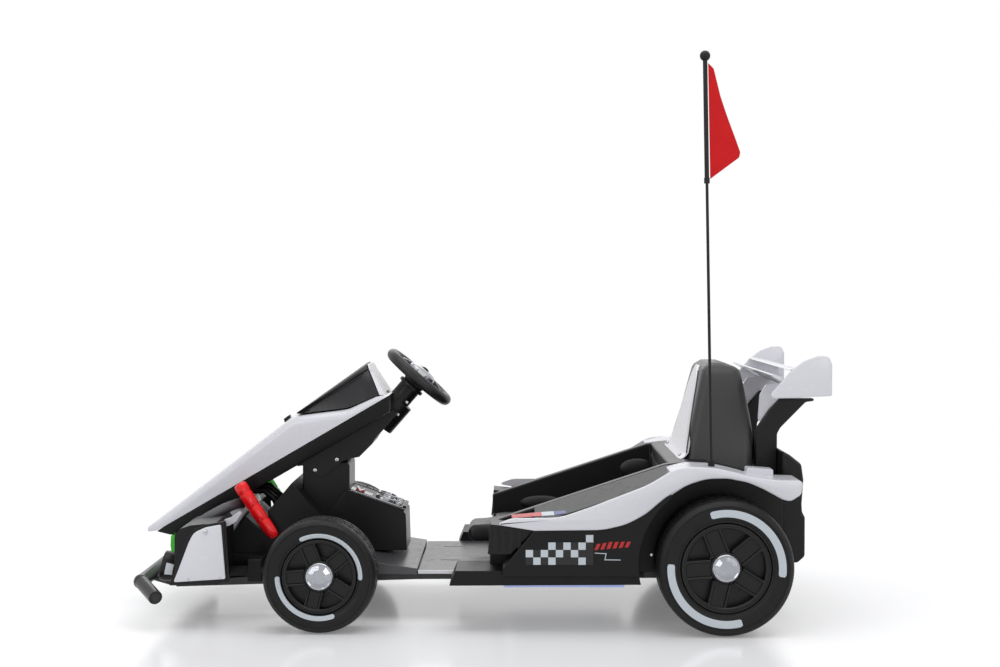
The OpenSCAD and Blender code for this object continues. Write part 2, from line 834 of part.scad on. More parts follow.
chassis_frame();
bumper();
front_housings();
front_plates();
lamp_pods();
lamp_lenses();
front_hood();
front_grille();
strut_left();
strut_right();
nose_shell();
nose_band();
cowl();
nose_bracket();
column_housing();
pillar();
front_boxes();
console_box();
console_panel();
rocker_switch();
floor_front();
floor_rear();
floor_strips();
pedal();
tub();
side_pods();
side_skirts();
pod_panels();
rib_blocks();
glow_strips();
seat_cushion();
seat_shell();
seat_back();
wing_posts();
wing_fins();
wing_blades();
rear_cover();
motors();
battery();
rear_axle();
flag_pole();
flag();
steering_wheel();
steering_hub();
tie_rod();
knuckle_left();
knuckle_right();
front_tyre(1);  // tyre_front_left
front_tyre(-1);  // tyre_front_right
rear_tyre(1);  // tyre_rear_left
rear_tyre(-1);  // tyre_rear_right
front_rim(1);  // rim_front_left
front_rim(-1);  // rim_front_right
rear_rim(1);  // rim_rear_left
rear_rim(-1);  // rim_rear_right
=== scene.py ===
import math
import bmesh
import bpy
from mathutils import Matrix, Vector


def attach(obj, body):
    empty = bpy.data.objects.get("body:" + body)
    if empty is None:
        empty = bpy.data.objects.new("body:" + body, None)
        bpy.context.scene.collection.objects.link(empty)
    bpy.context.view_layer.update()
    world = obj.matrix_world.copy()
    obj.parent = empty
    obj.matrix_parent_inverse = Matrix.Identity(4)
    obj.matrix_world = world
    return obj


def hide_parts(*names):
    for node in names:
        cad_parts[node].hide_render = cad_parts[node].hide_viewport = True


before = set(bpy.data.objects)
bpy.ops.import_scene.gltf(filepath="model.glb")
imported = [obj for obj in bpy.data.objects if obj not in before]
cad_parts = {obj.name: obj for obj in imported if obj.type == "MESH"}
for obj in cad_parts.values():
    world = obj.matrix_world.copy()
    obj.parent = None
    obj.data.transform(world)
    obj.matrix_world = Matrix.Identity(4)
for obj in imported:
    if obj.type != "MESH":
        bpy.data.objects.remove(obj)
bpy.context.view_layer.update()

# Sizes below are in millimetres in the kart's frame, unless a name says otherwise
MM = 0.001
CHASSIS = "chassis"

# Camera: where the photograph was taken from, in metres
CAMERA_PLACE = (-0.0635, 3.334, 0.597)
CAMERA_PITCH_DOWN = 1.43
CAMERA_YAW = 0.38
SENSOR_WIDTH = 36.0
FOCAL_PIXELS = 1748.0
PICTURE_WIDTH = 1000.0

# Wheels
AXLE_X = {"front": 270.5, "rear": -432.5}
TYRE_R = {"front": 99.5, "rear": 118.5}
TYRE_W = {"front": 85.0, "rear": 110.0}
TRACK = {"front": 565.0, "rear": 590.0}
CAP_R = 24.0
SPOKE_PHASE = 22.0
SPOKE_PAIRS = 5

# Steering wheel
WHEEL_CENTRE = Vector((113, 0, 431))
COLUMN_TILT = 49.0
RIM_MID_R = 66.0
RIM_R = 10.5


# Shader node helpers

def add(tree, kind, values=None, **settings):
    made = tree.nodes.new(kind)
    for key, value in settings.items():
        setattr(made, key, value)
    for key, value in (values or {}).items():
        made.inputs[key].default_value = value
    return made


def new_group(name, inputs, outputs):
    tree = bpy.data.node_groups.new(name, "ShaderNodeTree")
    for label, kind, value in inputs:
        socket = tree.interface.new_socket(name=label, in_out="INPUT", socket_type=kind)
        if value is not None:
            socket.default_value = value
    for label, kind in outputs:
        tree.interface.new_socket(name=label, in_out="OUTPUT", socket_type=kind)
    return tree, add(tree, "NodeGroupInput"), add(tree, "NodeGroupOutput")


def grain_group():
    """Fine moulded grain, slow tone changes and faint scuffs"""
    tree, given, put = new_group(
        "Moulded grain",
        [("Place", "NodeSocketVector", None), ("Scale", "NodeSocketFloat", 900.0)],
        [("Height", "NodeSocketFloat"), ("Tone", "NodeSocketFloat"), ("Scuff", "NodeSocketFloat")])
    fine = add(tree, "ShaderNodeTexNoise", {"Detail": 3.0, "Roughness": 0.6})
    slow = add(tree, "ShaderNodeTexNoise", {"Scale": 7.0, "Detail": 3.0})
    streak = add(tree, "ShaderNodeTexNoise", {"Scale": 34.0, "Detail": 6.0, "Distortion": 1.4})
    mask = add(tree, "ShaderNodeMapRange", {"From Min": 0.55, "From Max": 0.8})
    link = tree.links.new
    for texture in (fine, slow, streak):
        link(given.outputs["Place"], texture.inputs["Vector"])
    link(given.outputs["Scale"], fine.inputs["Scale"])
    link(fine.outputs["Fac"], put.inputs["Height"])
    link(slow.outputs["Fac"], put.inputs["Tone"])
    link(streak.outputs["Fac"], mask.inputs["Value"])
    link(mask.outputs["Result"], put.inputs["Scuff"])
    return tree


def edge_highlight_group():
    """Painted highlight mask for sharp edges: where an edge is sharp, the rounded normal leaves the true one
    """
    tree, given, put = new_group(
        "Painted edge highlight", [("Place", "NodeSocketVector", None)], [("Mask", "NodeSocketFloat")])
    soft = add(tree, "ShaderNodeBevel", {"Radius": 0.0016}, samples=4)
    true = add(tree, "ShaderNodeNewGeometry")
    dot = add(tree, "ShaderNodeVectorMath", operation="DOT_PRODUCT")
    span = add(tree, "ShaderNodeMapRange", {"From Min": 0.995, "From Max": 0.8})
    patches = add(tree, "ShaderNodeTexNoise", {"Scale": 60.0, "Detail": 4.0})
    painted_highlight = add(tree, "ShaderNodeMath", operation="MULTIPLY")
    link = tree.links.new
    link(given.outputs["Place"], patches.inputs["Vector"])
    link(soft.outputs["Normal"], dot.inputs[0])
    link(true.outputs["Normal"], dot.inputs[1])
    link(dot.outputs["Value"], span.inputs["Value"])
    link(span.outputs["Result"], painted_highlight.inputs[0])
    link(patches.outputs["Fac"], painted_highlight.inputs[1])
    link(painted_highlight.outputs["Value"], put.inputs["Mask"])
    return tree


def weave_group():
    """Plain weave: two crossed sets of threads"""
    tree, given, put = new_group(
        "Cloth weave",
        [("Place", "NodeSocketVector", None), ("Threads", "NodeSocketFloat", 900.0)],
        [("Height", "NodeSocketFloat"), ("Tone", "NodeSocketFloat")])
    link = tree.links.new
    high = add(tree, "ShaderNodeMath", operation="MAXIMUM")
    for k, way in enumerate(("X", "Z")):
        threads = add(tree, "ShaderNodeTexWave", {"Distortion": 0.4, "Detail": 1.0},
                      wave_type="BANDS", bands_direction=way)
        link(given.outputs["Place"], threads.inputs["Vector"])
        link(given.outputs["Threads"], threads.inputs["Scale"])
        link(threads.outputs["Fac"], high.inputs[k])
    tone = add(tree, "ShaderNodeTexNoise", {"Scale": 25.0, "Detail": 4.0})
    link(given.outputs["Place"], tone.inputs["Vector"])
    link(high.outputs["Value"], put.inputs["Height"])
    link(tone.outputs["Fac"], put.inputs["Tone"])
    return tree


GRAIN = grain_group()
EDGE_HIGHLIGHT = edge_highlight_group()
WEAVE = weave_group()


def shade(colour, factor):
    return tuple(min(1.0, c * factor) for c in colour[:3]) + (1.0,)


def finish(name, colour, rough, grain=900.0, depth=0.03, tone=0.08, scuff=0.1, edge=0.25,
           edge_highlight_colour=None, weave=False, **sockets):
    """A surface with grain, tone changes, scuffs and a painted highlight along its sharp edges. depth is in
    millimetres
    """
    material = bpy.data.materials.new(name)
    material.use_nodes = True
    tree = material.node_tree
    link = tree.links.new
    body = tree.nodes["Principled BSDF"]
    for key, value in sockets.items():
        body.inputs[key.replace("_", " ")].default_value = value
    where = add(tree, "ShaderNodeTexCoord")
    pattern = add(tree, "ShaderNodeGroup", node_tree=WEAVE if weave else GRAIN)
    link(where.outputs["Object"], pattern.inputs["Place"])
    pattern.inputs["Threads" if weave else "Scale"].default_value = grain
    mix = add(tree, "ShaderNodeMix", data_type="RGBA")
    mix.inputs["A"].default_value = shade(colour, 1 - tone)
    mix.inputs["B"].default_value = shade(colour, 1 + tone)
    link(pattern.outputs["Tone"], mix.inputs["Factor"])
    last = mix
    # edge sets how strongly sharp edges are lightened with a painted highlight; with no colour given, the
    # highlight is the base colour made lighter
    if edge:
        painted_highlight = add(tree, "ShaderNodeGroup", node_tree=EDGE_HIGHLIGHT)
        link(where.outputs["Object"], painted_highlight.inputs["Place"])
        amount = add(tree, "ShaderNodeMapRange", {"To Max": edge})
        link(painted_highlight.outputs["Mask"], amount.inputs["Value"])
        last = add(tree, "ShaderNodeMix", data_type="RGBA")
        link(amount.outputs["Result"], last.inputs["Factor"])
        link(mix.outputs["Result"], last.inputs["A"])
        last.inputs["B"].default_value = edge_highlight_colour or shade([c + 0.08 for c in colour[:3]], 2.0)
    link(last.outputs["Result"], body.inputs["Base Color"])
    spread = add(tree, "ShaderNodeMapRange", {"To Min": rough, "To Max": min(1.0, rough + scuff)})
    link(pattern.outputs["Height" if weave else "Scuff"], spread.inputs["Value"])
    link(spread.outputs["Result"], body.inputs["Roughness"])
    bump = add(tree, "ShaderNodeBump", {"Strength": 0.6, "Distance": depth * MM})
    link(pattern.outputs["Height"], bump.inputs["Height"])
    link(bump.outputs["Normal"], body.inputs["Normal"])
    return material


# In these finishes, edge and its colour set a painted highlight that lightens sharp edges; it is on unless
# edge is 0
BLACK = finish("Satin black plastic", (0.007, 0.007, 0.0075), 0.34, Specular_IOR_Level=0.24)
BLACK_SIDE = finish("Black side plastic", (0.0055, 0.0055, 0.006), 0.4, Specular_IOR_Level=0.2)
COWL_BLACK = finish("Cowl black", (0.014, 0.014, 0.016), 0.26, depth=0.012, Specular_IOR_Level=0.3)
GREY_BACK = finish("Seat back grey", (0.042, 0.042, 0.042), 0.4, depth=0.05, Specular_IOR_Level=0.3)
WHITE = finish("Gloss white plastic", (0.72, 0.72, 0.76), 0.26, depth=0.006, tone=0.015, scuff=0.06,
               edge=0.2, edge_highlight_colour=(0.84, 0.84, 0.87, 1), Specular_IOR_Level=0.4, Coat_Weight=0.15,
               Coat_Roughness=0.12)
FLOOR_GREY = finish("Floor plastic", (0.06, 0.06, 0.066), 0.3, grain=260.0, depth=0.2, tone=0.2,
                    scuff=0.2, Specular_IOR_Level=0.55)
RUBBER = finish("Tyre rubber", (0.006, 0.006, 0.0065), 0.48, grain=1400.0, depth=0.05, tone=0.14,
                scuff=0.2, edge=0.3, Specular_IOR_Level=0.24)
# Strong painted highlight in mid grey along the rim's sharp edges
RIM_BLACK = finish("Rim black", (0.004, 0.004, 0.0045), 0.28, depth=0.012, edge=0.6,
                   edge_highlight_colour=(0.12, 0.12, 0.125, 1), Specular_IOR_Level=0.28)
# Near-black matte sheet behind the spokes: painted shade in the rim's windows
WELL_SHADE = finish("Wheel well painted shade", (0.0015, 0.0015, 0.0015), 0.8, edge=0.0, Specular_IOR_Level=0.05)
GRIP = finish("Grip rubber", (0.012, 0.012, 0.013), 0.4, grain=1600.0, depth=0.06,
              Specular_IOR_Level=0.35)
PAINT_BLACK = finish("Black tube paint", (0.012, 0.012, 0.013), 0.3, grain=1800.0, depth=0.012,
                     Specular_IOR_Level=0.4, Coat_Weight=0.1, Coat_Roughness=0.15)
STEEL = finish("Zinc steel", (0.5, 0.5, 0.52), 0.3, grain=700.0, depth=0.01, tone=0.1, Metallic=1.0)
CHROME = finish("Chromed cap", (0.38, 0.39, 0.42), 0.16, grain=240.0, depth=0.3, tone=0.3, scuff=0.15,
                Metallic=0.95)
SILVER = finish("Silver paint", (0.36, 0.37, 0.39), 0.24, grain=1500.0, depth=0.01, tone=0.1,
                Metallic=0.8, Coat_Weight=0.4, Coat_Roughness=0.06)
BRASS = finish("Brass bolt", (0.4, 0.29, 0.13), 0.32, Metallic=1.0)
MOTOR_GREY = finish("Motor housing grey", (0.06, 0.06, 0.065), 0.42, depth=0.05)
RED = finish("Gloss red plastic", (0.95, 0.008, 0.012), 0.2, depth=0.01, tone=0.05, scuff=0.08,
             edge=0.15, edge_highlight_colour=(0.9, 0.1, 0.08, 1), Specular_IOR_Level=0.4)
RED_DARK = finish("Dark red rocker", (0.3, 0.008, 0.012), 0.14, depth=0.01, Coat_Weight=0.5,
                  Coat_Roughness=0.04)
GREEN = finish("Gloss green plastic", (0.05, 0.6, 0.025), 0.22, depth=0.01, tone=0.06, edge=0.15,
               edge_highlight_colour=(0.4, 0.8, 0.3, 1), Specular_IOR_Level=0.4)
LENS = finish("Lamp lens", (0.74, 0.77, 0.8), 0.1, grain=180.0, depth=0.2, tone=0.04,
              Coat_Weight=0.6, Coat_Roughness=0.03)
GLASS_DARK = finish("Gauge glass", (0.006, 0.0065, 0.008), 0.06, depth=0.004, edge=0.0,
                    Coat_Weight=0.6, Coat_Roughness=0.02)
GLOW = finish("Light strip", (0.5, 0.6, 1.0), 0.3, edge=0.0, tone=0.1,
              Emission_Color=(0.35, 0.45, 1.0, 1.0), Emission_Strength=0.15)
VINYL = finish("Seat pad vinyl", (0.011, 0.011, 0.012), 0.38, grain=420.0, depth=0.18, tone=0.12,
               Specular_IOR_Level=0.35)
PIPING = finish("Seat piping", (0.02, 0.02, 0.022), 0.5, grain=800.0, depth=0.05)
PENNANT = finish("Red pennant cloth", (0.62, 0.008, 0.01), 0.6, grain=320.0, depth=0.12, tone=0.1,
                 edge=0.0, weave=True, Specular_IOR_Level=0.2, Sheen_Weight=0.1)
INK_WHITE = finish("White print", (0.55, 0.6, 0.64), 0.38, depth=0.006, tone=0.05, edge=0.0)
INK_GREY = finish("Dark grey print", (0.02, 0.019, 0.02), 0.4, depth=0.006, edge=0.0,
                  Specular_IOR_Level=0.3)
INK_RED = finish("Red print", (0.5, 0.012, 0.014), 0.38, depth=0.006, tone=0.08, edge=0.0)
INK_BLUE = finish("Blue print", (0.02, 0.035, 0.2), 0.38, depth=0.006, tone=0.08, edge=0.0)


# Mesh helpers

def piece(name, shape, material, body=CHASSIS, stands_for=(), sharp=35.0, bevel=0.0):
    """A rigid piece from vertices in millimetres and faces, smooth where its faces turn gently"""
    verts, faces = shape
    mesh = bpy.data.meshes.new(name)
    mesh.from_pydata([Vector(v) * MM for v in verts], [], faces)
    work = bmesh.new()
    work.from_mesh(mesh)
    bmesh.ops.remove_doubles(work, verts=work.verts, dist=0.00001)
    bmesh.ops.recalc_face_normals(work, faces=work.faces)
    for face in work.faces:
        face.smooth = True
    for edge in work.edges:
        edge.smooth = len(edge.link_faces) == 2 and edge.calc_face_angle(0) < math.radians(sharp)
    work.to_mesh(mesh)
    work.free()
    mesh.materials.append(material)
    made = bpy.data.objects.new(name, mesh)
    bpy.context.scene.collection.objects.link(made)
    if bevel:
        rounded = made.modifiers.new("Rounded edges", "BEVEL")
        rounded.width = bevel * MM
        rounded.segments = 3
        rounded.limit_method = "ANGLE"
        rounded.angle_limit = math.radians(sharp)
    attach(made, body)
    if stands_for:
        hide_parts(*stands_for)
    return made


def joined(*shapes):
    """Several shapes as one"""
    verts, faces = [], []
    for v, f in shapes:
        base = len(verts)
        verts += list(v)
        faces += [tuple(i + base for i in face) for face in f]
    return verts, faces


def moved(shape, change):
    return [change(Vector(v)) for v in shape[0]], shape[1]


def mirrored(shape):
    return moved(shape, lambda v: Vector((v.x, -v.y, v.z)))


def both(shape):
    return joined(shape, mirrored(shape))


def fillet(outline, radius, steps=6):
    """An outline with its corners rounded; radius is one number or one for each corner"""
    out = []
    count = len(outline)
    for i, corner in enumerate(outline):
        r = radius[i] if isinstance(radius, (list, tuple)) else radius
        here = Vector(corner)
        to_last = Vector(outline[i - 1]) - here
        to_next = Vector(outline[(i + 1) % count]) - here
        angle = to_last.angle(to_next)
        cut = min(r / max(0.05, math.tan(angle / 2)), 0.48 * min(to_last.length, to_next.length))
        if r <= 0 or angle > math.radians(176):
            out.append(here)
            continue
        start = here + to_last.normalized() * cut
        end = here + to_next.normalized() * cut
        for k in range(steps + 1):
            t = k / steps
            out.append(start * (1 - t) ** 2 + here * 2 * t * (1 - t) + end * t * t)
    return out


def slab(outline, y0, y1):
    """An outline given as x and z, as a solid from y0 to y1"""
    n = len(outline)
    verts = [(p[0], y, p[1]) for y in (y0, y1) for p in outline]
    faces = [tuple(range(n)), tuple(range(2 * n - 1, n - 1, -1))]
    faces += [(i, (i + 1) % n, n + (i + 1) % n, n + i) for i in range(n)]
    return verts, faces


def inset(outline, d):
    """An outline whose every side moves inwards by d; it runs either way round"""
    points = [Vector(p) for p in outline]
    area = sum(p.cross(q) for p, q in zip(points, points[1:] + points[:1]))
    way = 1 if area > 0 else -1
    out = []
    for i, p in enumerate(points):
        a = (p - points[i - 1])
        b = (points[(i + 1) % len(points)] - p)
        a = a.normalized() if a.length > 1e-6 else b.normalized()
        b = b.normalized() if b.length > 1e-6 else a
        normal = Vector((-a.y - b.y, a.x + b.x)) * way
        normal = normal.normalized() / max(0.55, normal.length / 2) if normal.length > 1e-6 else normal
        out.append(p + normal * d)
    return out


def moulded_panel(outline, y0, y1, chamfer, drop):
    """A panel from y0 to y1 whose outer face has a wide soft chamfer all round"""
    levels = ((0.0, y0), (0.0, y1 - drop), (0.3 * chamfer, y1 - 0.45 * drop), (chamfer, y1))
    rings = [[(p[0], y, p[1]) for p in inset(outline, d)] for d, y in levels]
    return loft(rings)


def loft(rings, cap=True):
    """A skin over rings that have the same number of points"""
    n = len(rings[0])
    verts = [p for ring in rings for p in ring]
    faces = []
    for k in range(len(rings) - 1):
        for i in range(n):
            j = (i + 1) % n
            faces.append((k * n + i, k * n + j, (k + 1) * n + j, (k + 1) * n + i))
    if cap:
        faces += [tuple(range(n)), tuple(range(len(verts) - 1, len(verts) - n - 1, -1))]
    return verts, faces


def lathe(profile, steps, close=False):
    """A profile of (y, r) turned about the Y axis; close joins its ends"""
    n = len(profile)
    verts = []
    for k in range(steps):
        a = 2 * math.pi * k / steps
        verts += [(r * math.sin(a), y, r * math.cos(a)) for y, r in profile]
    last = n if close else n - 1
    faces = []
    for k in range(steps):
        m = (k + 1) % steps
        for i in range(last):
            j = (i + 1) % n
            faces.append((k * n + i, k * n + j, m * n + j, m * n + i))
    return verts, faces


def sweep(points, radius, sides=14, closed=False):
    """A round tube through points; radius is a number or a function of the share of the way"""
    path = [Vector(p) for p in points]
    n = len(path)
    side = None
    rings = []
    for i, p in enumerate(path):
        ahead = path[(i + 1) % n] if closed or i < n - 1 else p
        behind = path[i - 1] if closed or i > 0 else p
        way = (ahead - behind).normalized()
        if side is None:
            side = way.orthogonal().normalized()
        side = (side - way * side.dot(way)).normalized()
        up = way.cross(side)
        r = radius(i / (n - 1)) if callable(radius) else radius
        rings.append([p + (side * math.cos(a) + up * math.sin(a)) * r
                      for a in (2 * math.pi * k / sides for k in range(sides))])
    if closed:
        rings.append(rings[0])
        return loft(rings, cap=False)
    return loft(rings)


def turned(shape, direction, place):
    """A shape made along +Y, turned to point along direction and put at a place"""
    turn = Vector((0, 1, 0)).rotation_difference(Vector(direction)).to_matrix()
    return moved(shape, lambda v: turn @ v + Vector(place))


def dress(node, material, bevel=1.5, angle=28.0):
    """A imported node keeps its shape; its edges are rounded and it gets its finish"""
    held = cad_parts[node]
    held.data.materials.clear()
    held.data.materials.append(material)
    if not bevel:
        return
    weld = held.modifiers.new("Weld", "WELD")
    weld.merge_threshold = 0.00005
    flat = held.modifiers.new("Flat faces", "DECIMATE")
    flat.decimate_type = "DISSOLVE"
    flat.angle_limit = 0.02
    rounded = held.modifiers.new("Rounded edges", "BEVEL")
    rounded.width = bevel * MM
    rounded.segments = 2
    rounded.limit_method = "ANGLE"
    rounded.angle_limit = math.radians(angle)


# Camera, light and floor. The floor fades to white between two distances, in metres
FLOOR_LIFT = 0.16
FADE_START = 0.75
FADE_END = 2.4


def set_camera():
    data = bpy.data.cameras.new("Camera")
    data.sensor_width = SENSOR_WIDTH
    data.lens = FOCAL_PIXELS / PICTURE_WIDTH * SENSOR_WIDTH
    held = bpy.data.objects.new("Camera", data)
    bpy.context.scene.collection.objects.link(held)
    held.location = CAMERA_PLACE
    held.rotation_euler = (math.radians(90 - CAMERA_PITCH_DOWN), 0, math.radians(180 + CAMERA_YAW))
    bpy.context.scene.camera = held


def set_lights():
    lamps = (
        ("Overhead", (0.0, 0.4, 2.6), (0, 0, 0.2), 2.6, 1.9, 26.0),
        ("Near left", (1.9, 2.4, 1.5), (0.1, 0, 0.25), 1.5, 1.2, 14.0),
        ("Near right", (-1.9, 2.6, 1.3), (-0.1, 0, 0.25), 1.5, 1.2, 12.0),
        ("Far side", (0.3, -2.6, 1.8), (0, 0, 0.3), 2.4, 1.2, 14.0),
    )
    for name, place, aim, wide, tall, power in lamps:
        data = bpy.data.lights.new(name, "AREA")
        data.shape = "RECTANGLE"
        data.size, data.size_y, data.energy = wide, tall, power
        held = bpy.data.objects.new(name, data)
        bpy.context.scene.collection.objects.link(held)
        held.location = place
        way = Vector(aim) - Vector(place)
        held.rotation_euler = way.to_track_quat("-Z", "Y").to_euler()


def seen_by_eye(tree):
    """1 for rays that come from the camera, straight or by mirror or glass"""
    paths = add(tree, "ShaderNodeLightPath")
    first = add(tree, "ShaderNodeMath", operation="MAXIMUM")
    seen = add(tree, "ShaderNodeMath", operation="MAXIMUM")
    tree.links.new(paths.outputs["Is Camera Ray"], first.inputs[0])
    tree.links.new(paths.outputs["Is Glossy Ray"], first.inputs[1])
    tree.links.new(first.outputs["Value"], seen.inputs[0])
    tree.links.new(paths.outputs["Is Transmission Ray"], seen.inputs[1])
    return seen.outputs["Value"]


def set_world():
    world = bpy.data.worlds.new("Studio")
    bpy.context.scene.world = world
    world.use_nodes = True
    tree = world.node_tree
    tree.nodes.clear()
    soft = add(tree, "ShaderNodeBackground", {"Color": (0.96, 0.97, 1, 1), "Strength": 0.5})
    put = add(tree, "ShaderNodeOutputWorld")
    white = add(tree, "ShaderNodeBackground", {"Color": (1, 1, 1, 1), "Strength": 1.0})
    mix = add(tree, "ShaderNodeMixShader")
    tree.links.new(seen_by_eye(tree), mix.inputs["Fac"])
    tree.links.new(soft.outputs["Background"], mix.inputs[1])
    tree.links.new(white.outputs["Background"], mix.inputs[2])
    tree.links.new(mix.outputs["Shader"], put.inputs["Surface"])


def set_floor():
    ring, centre = 64, (0, 0, -0.0004)
    work = bmesh.new()
    bmesh.ops.create_circle(work, cap_ends=True, radius=9.0, segments=ring)
    mesh = bpy.data.meshes.new("Studio floor")
    work.to_mesh(mesh)
    work.free()
    floor = bpy.data.objects.new("studio_floor", mesh)
    bpy.context.scene.collection.objects.link(floor)
    floor.location = centre
    material = bpy.data.materials.new("Glossy white floor")
    material.use_nodes = True
    tree = material.node_tree
    body = tree.nodes["Principled BSDF"]
    body.inputs["Roughness"].default_value = 0.16
    body.inputs["Specular IOR Level"].default_value = 0.45
    where = add(tree, "ShaderNodeTexCoord")
    slow = add(tree, "ShaderNodeTexNoise", {"Scale": 2.0, "Detail": 2.0})
    tone = add(tree, "ShaderNodeMix", data_type="RGBA")
    tone.inputs["A"].default_value = (0.93, 0.93, 0.94, 1)
    tone.inputs["B"].default_value = (0.96, 0.96, 0.965, 1)
    tree.links.new(where.outputs["Object"], slow.inputs["Vector"])
    tree.links.new(slow.outputs["Fac"], tone.inputs["Factor"])
    tree.links.new(tone.outputs["Result"], body.inputs["Base Color"])
    seen = seen_by_eye(tree)
    lift = add(tree, "ShaderNodeMath", {1: FLOOR_LIFT}, operation="MULTIPLY")
    tree.links.new(seen, lift.inputs[0])
    body.inputs["Emission Color"].default_value = (1, 1, 1, 1)
    tree.links.new(lift.outputs["Value"], body.inputs["Emission Strength"])
    far = add(tree, "ShaderNodeVectorMath", operation="LENGTH")
    fade = add(tree, "ShaderNodeMapRange", {"From Min": FADE_START, "From Max": FADE_END},
               interpolation_type="SMOOTHSTEP")
    both_ways = add(tree, "ShaderNodeMath", operation="MULTIPLY")
    white = add(tree, "ShaderNodeEmission", {"Color": (1, 1, 1, 1), "Strength": 1.0})
    mix = add(tree, "ShaderNodeMixShader")
    tree.links.new(where.outputs["Object"], far.inputs[0])
    tree.links.new(far.outputs["Value"], fade.inputs["Value"])
    tree.links.new(fade.outputs["Result"], both_ways.inputs[0])
    tree.links.new(seen, both_ways.inputs[1])
    tree.links.new(both_ways.outputs["Value"], mix.inputs["Fac"])
    tree.links.new(body.outputs["BSDF"], mix.inputs[1])
    tree.links.new(white.outputs["Emission"], mix.inputs[2])
    tree.links.new(mix.outputs["Shader"], tree.nodes["Material Output"].inputs["Surface"])
    mesh.materials.append(material)


set_camera()
set_lights()
set_world()
set_floor()
bpy.context.scene.view_settings.view_transform = "Standard"


# Wheels

def tyre_side(r, w):
    """Outer half of a tyre's outline as (y, r): bead, stepped sidewall, ridge, shoulder"""
    steps = [(-15, 0.645), (-9, 0.662), (-6.4, 0.668), (-5.4, 0.678), (-5.8, 0.69), (-4.4, 0.70),
             (-2.4, 0.73), (-1.2, 0.78), (-0.5, 0.83), (-0.3, 0.875), (-1.3, 0.883), (-1.3, 0.895),
             (-0.2, 0.903), (-0.2, 0.922), (-1.6, 0.932), (-2.6, 0.945), (-4.6, 0.96), (-8.0, 0.978),
             (-11.5, 0.988)]
    return [(w / 2 + dy, share * r) for dy, share in steps]


def tyre_shape(r, w):
    """Lathed tyre whose tread is cut by slanted grooves and two rings"""
    side = tyre_side(r, w)
    edge = w / 2 - 15
    across = [edge * (1 - 2 * k / 22) for k in range(23)]
    profile = side + [(y, None) for y in across] + [(-y, q) for y, q in reversed(side)]
    steps, pitch = 324, 9
    verts = []
    for k in range(steps):
        a = 2 * math.pi * k / steps
        for y, q in profile:
            if q is None:
                share = abs(y) / edge
                q = r - 1.2 * share * share
                ring = abs(abs(y) - 0.36 * edge) < 0.06 * w / 2
                slant = (k + 0.10 * abs(y)) % pitch
                cut = 0.42 < share < 0.8 and slant < 2.0
                sipe = share < 0.3 and (k + 4 + 0.12 * y) % pitch < 1.1
                q -= 2.4 if ring or cut else 1.4 if sipe else 0.0
            verts.append((q * math.sin(a), y, q * math.cos(a)))
    n = len(profile)
    faces = [(k * n + i, k * n + (i + 1) % n, (k + 1) % steps * n + (i + 1) % n, (k + 1) % steps * n + i)
             for k in range(steps) for i in range(n)]
    return verts, faces


def side_height(r, w, q):
    """How far out the sidewall stands at radius q"""
    points = tyre_side(r, w)
    for (y0, q0), (y1, q1) in zip(points, points[1:]):
        if q0 <= q <= q1:
            return y0 + (y1 - y0) * (q - q0) / (q1 - q0)
    return w / 2


def arc_shape(r, w, inner, outer, start, end):
    """Printed band on the sidewall. Angles are seen in the photograph, counter-clockwise from its right"""
    steps, rows = 56, 6
    verts = []
    for k in range(steps + 1):
        along = k / steps
        length = math.radians(end - start) * (inner + outer) / 2 * r
        near = min(along, 1 - along) * length
        corner = 2.2
        tuck = corner - math.sqrt(max(0.0, corner ** 2 - (corner - near) ** 2)) if near < corner else 0.0
        a = math.radians(start + (end - start) * along)
        for m in range(rows + 1):
            q = inner * r + tuck + (outer * r - inner * r - 2 * tuck) * m / rows
            verts.append((-q * math.cos(a), side_height(r, w, q) + 0.12, q * math.sin(a)))
    n = rows + 1
    faces = [(k * n + i, k * n + i + 1, (k + 1) * n + i + 1, (k + 1) * n + i)
             for k in range(steps) for i in range(rows)]
    return verts, faces


def spoke_bar(offset, inner, outer, width, low, high):
    """One ridge or panel of a spoke, along +Z, with its top edges drawn in"""
    x0, x1 = offset - width / 2, offset + width / 2
    draw = min(0.8, width / 3)
    rings = []
    for z in (inner, inner + 1.5, outer - 1.5, outer):
        rings.append([(x0, low, z), (x1, low, z), (x1, high - draw, z), (x1 - draw, high, z),
                      (x0 + draw, high, z), (x0, high - draw, z)])
    return loft(rings)


def rim_shape(r, w):
    """Rim with its ring, hub and pairs of spoke ridges, and behind them a near-black well of painted shade"""
    face = w / 2 - 12
    bead, field = 0.66 * r, 0.575 * r
    hub = CAP_R + 3.5
    dish = lathe([(-w / 2 + 13, 10), (-w / 2 + 13, bead - 0.3), (face + 3, bead - 0.3),
                  (face + 5.2, bead - 1.5), (face + 5.2, bead - 3), (face + 3.2, bead - 3.6),
                  (face + 3.2, bead - 4.6),
                  (face + 3.8, field + 1.6), (face + 2.2, field), (face - 20, field - 0.4),
                  (face - 21, hub + 2), (face - 20, hub), (face + 1.5, hub), (face + 3, hub - 1.5),
                  (face + 3, CAP_R + 0.6), (face + 0.5, CAP_R + 0.4), (face + 0.5, 10)], 120, close=True)
    shapes = []
    for k in range(SPOKE_PAIRS):
        parts = [spoke_bar(side * 0.12 * r, hub - 2, field + 1, 0.038 * r, face - 18, face + 2.4)
                 for side in (-1, 1)]
        parts.append(spoke_bar(0, hub - 2, field + 1, 0.2 * r, face - 18, face - 2.2))
        a = math.radians(SPOKE_PHASE + 360 / SPOKE_PAIRS * k)
        shapes.append(moved(joined(*parts), lambda v: Vector(
            (v.x * math.cos(a) + v.z * math.sin(a), v.y, v.z * math.cos(a) - v.x * math.sin(a)))))
    well = lathe([(face - 24, 12), (face - 24, field + 2), (face + 1, field + 2), (face + 1, field + 0.4),
                  (face - 22, field + 0.4), (face - 22, 12)], 72, close=True)
    return joined(dish, *shapes), well


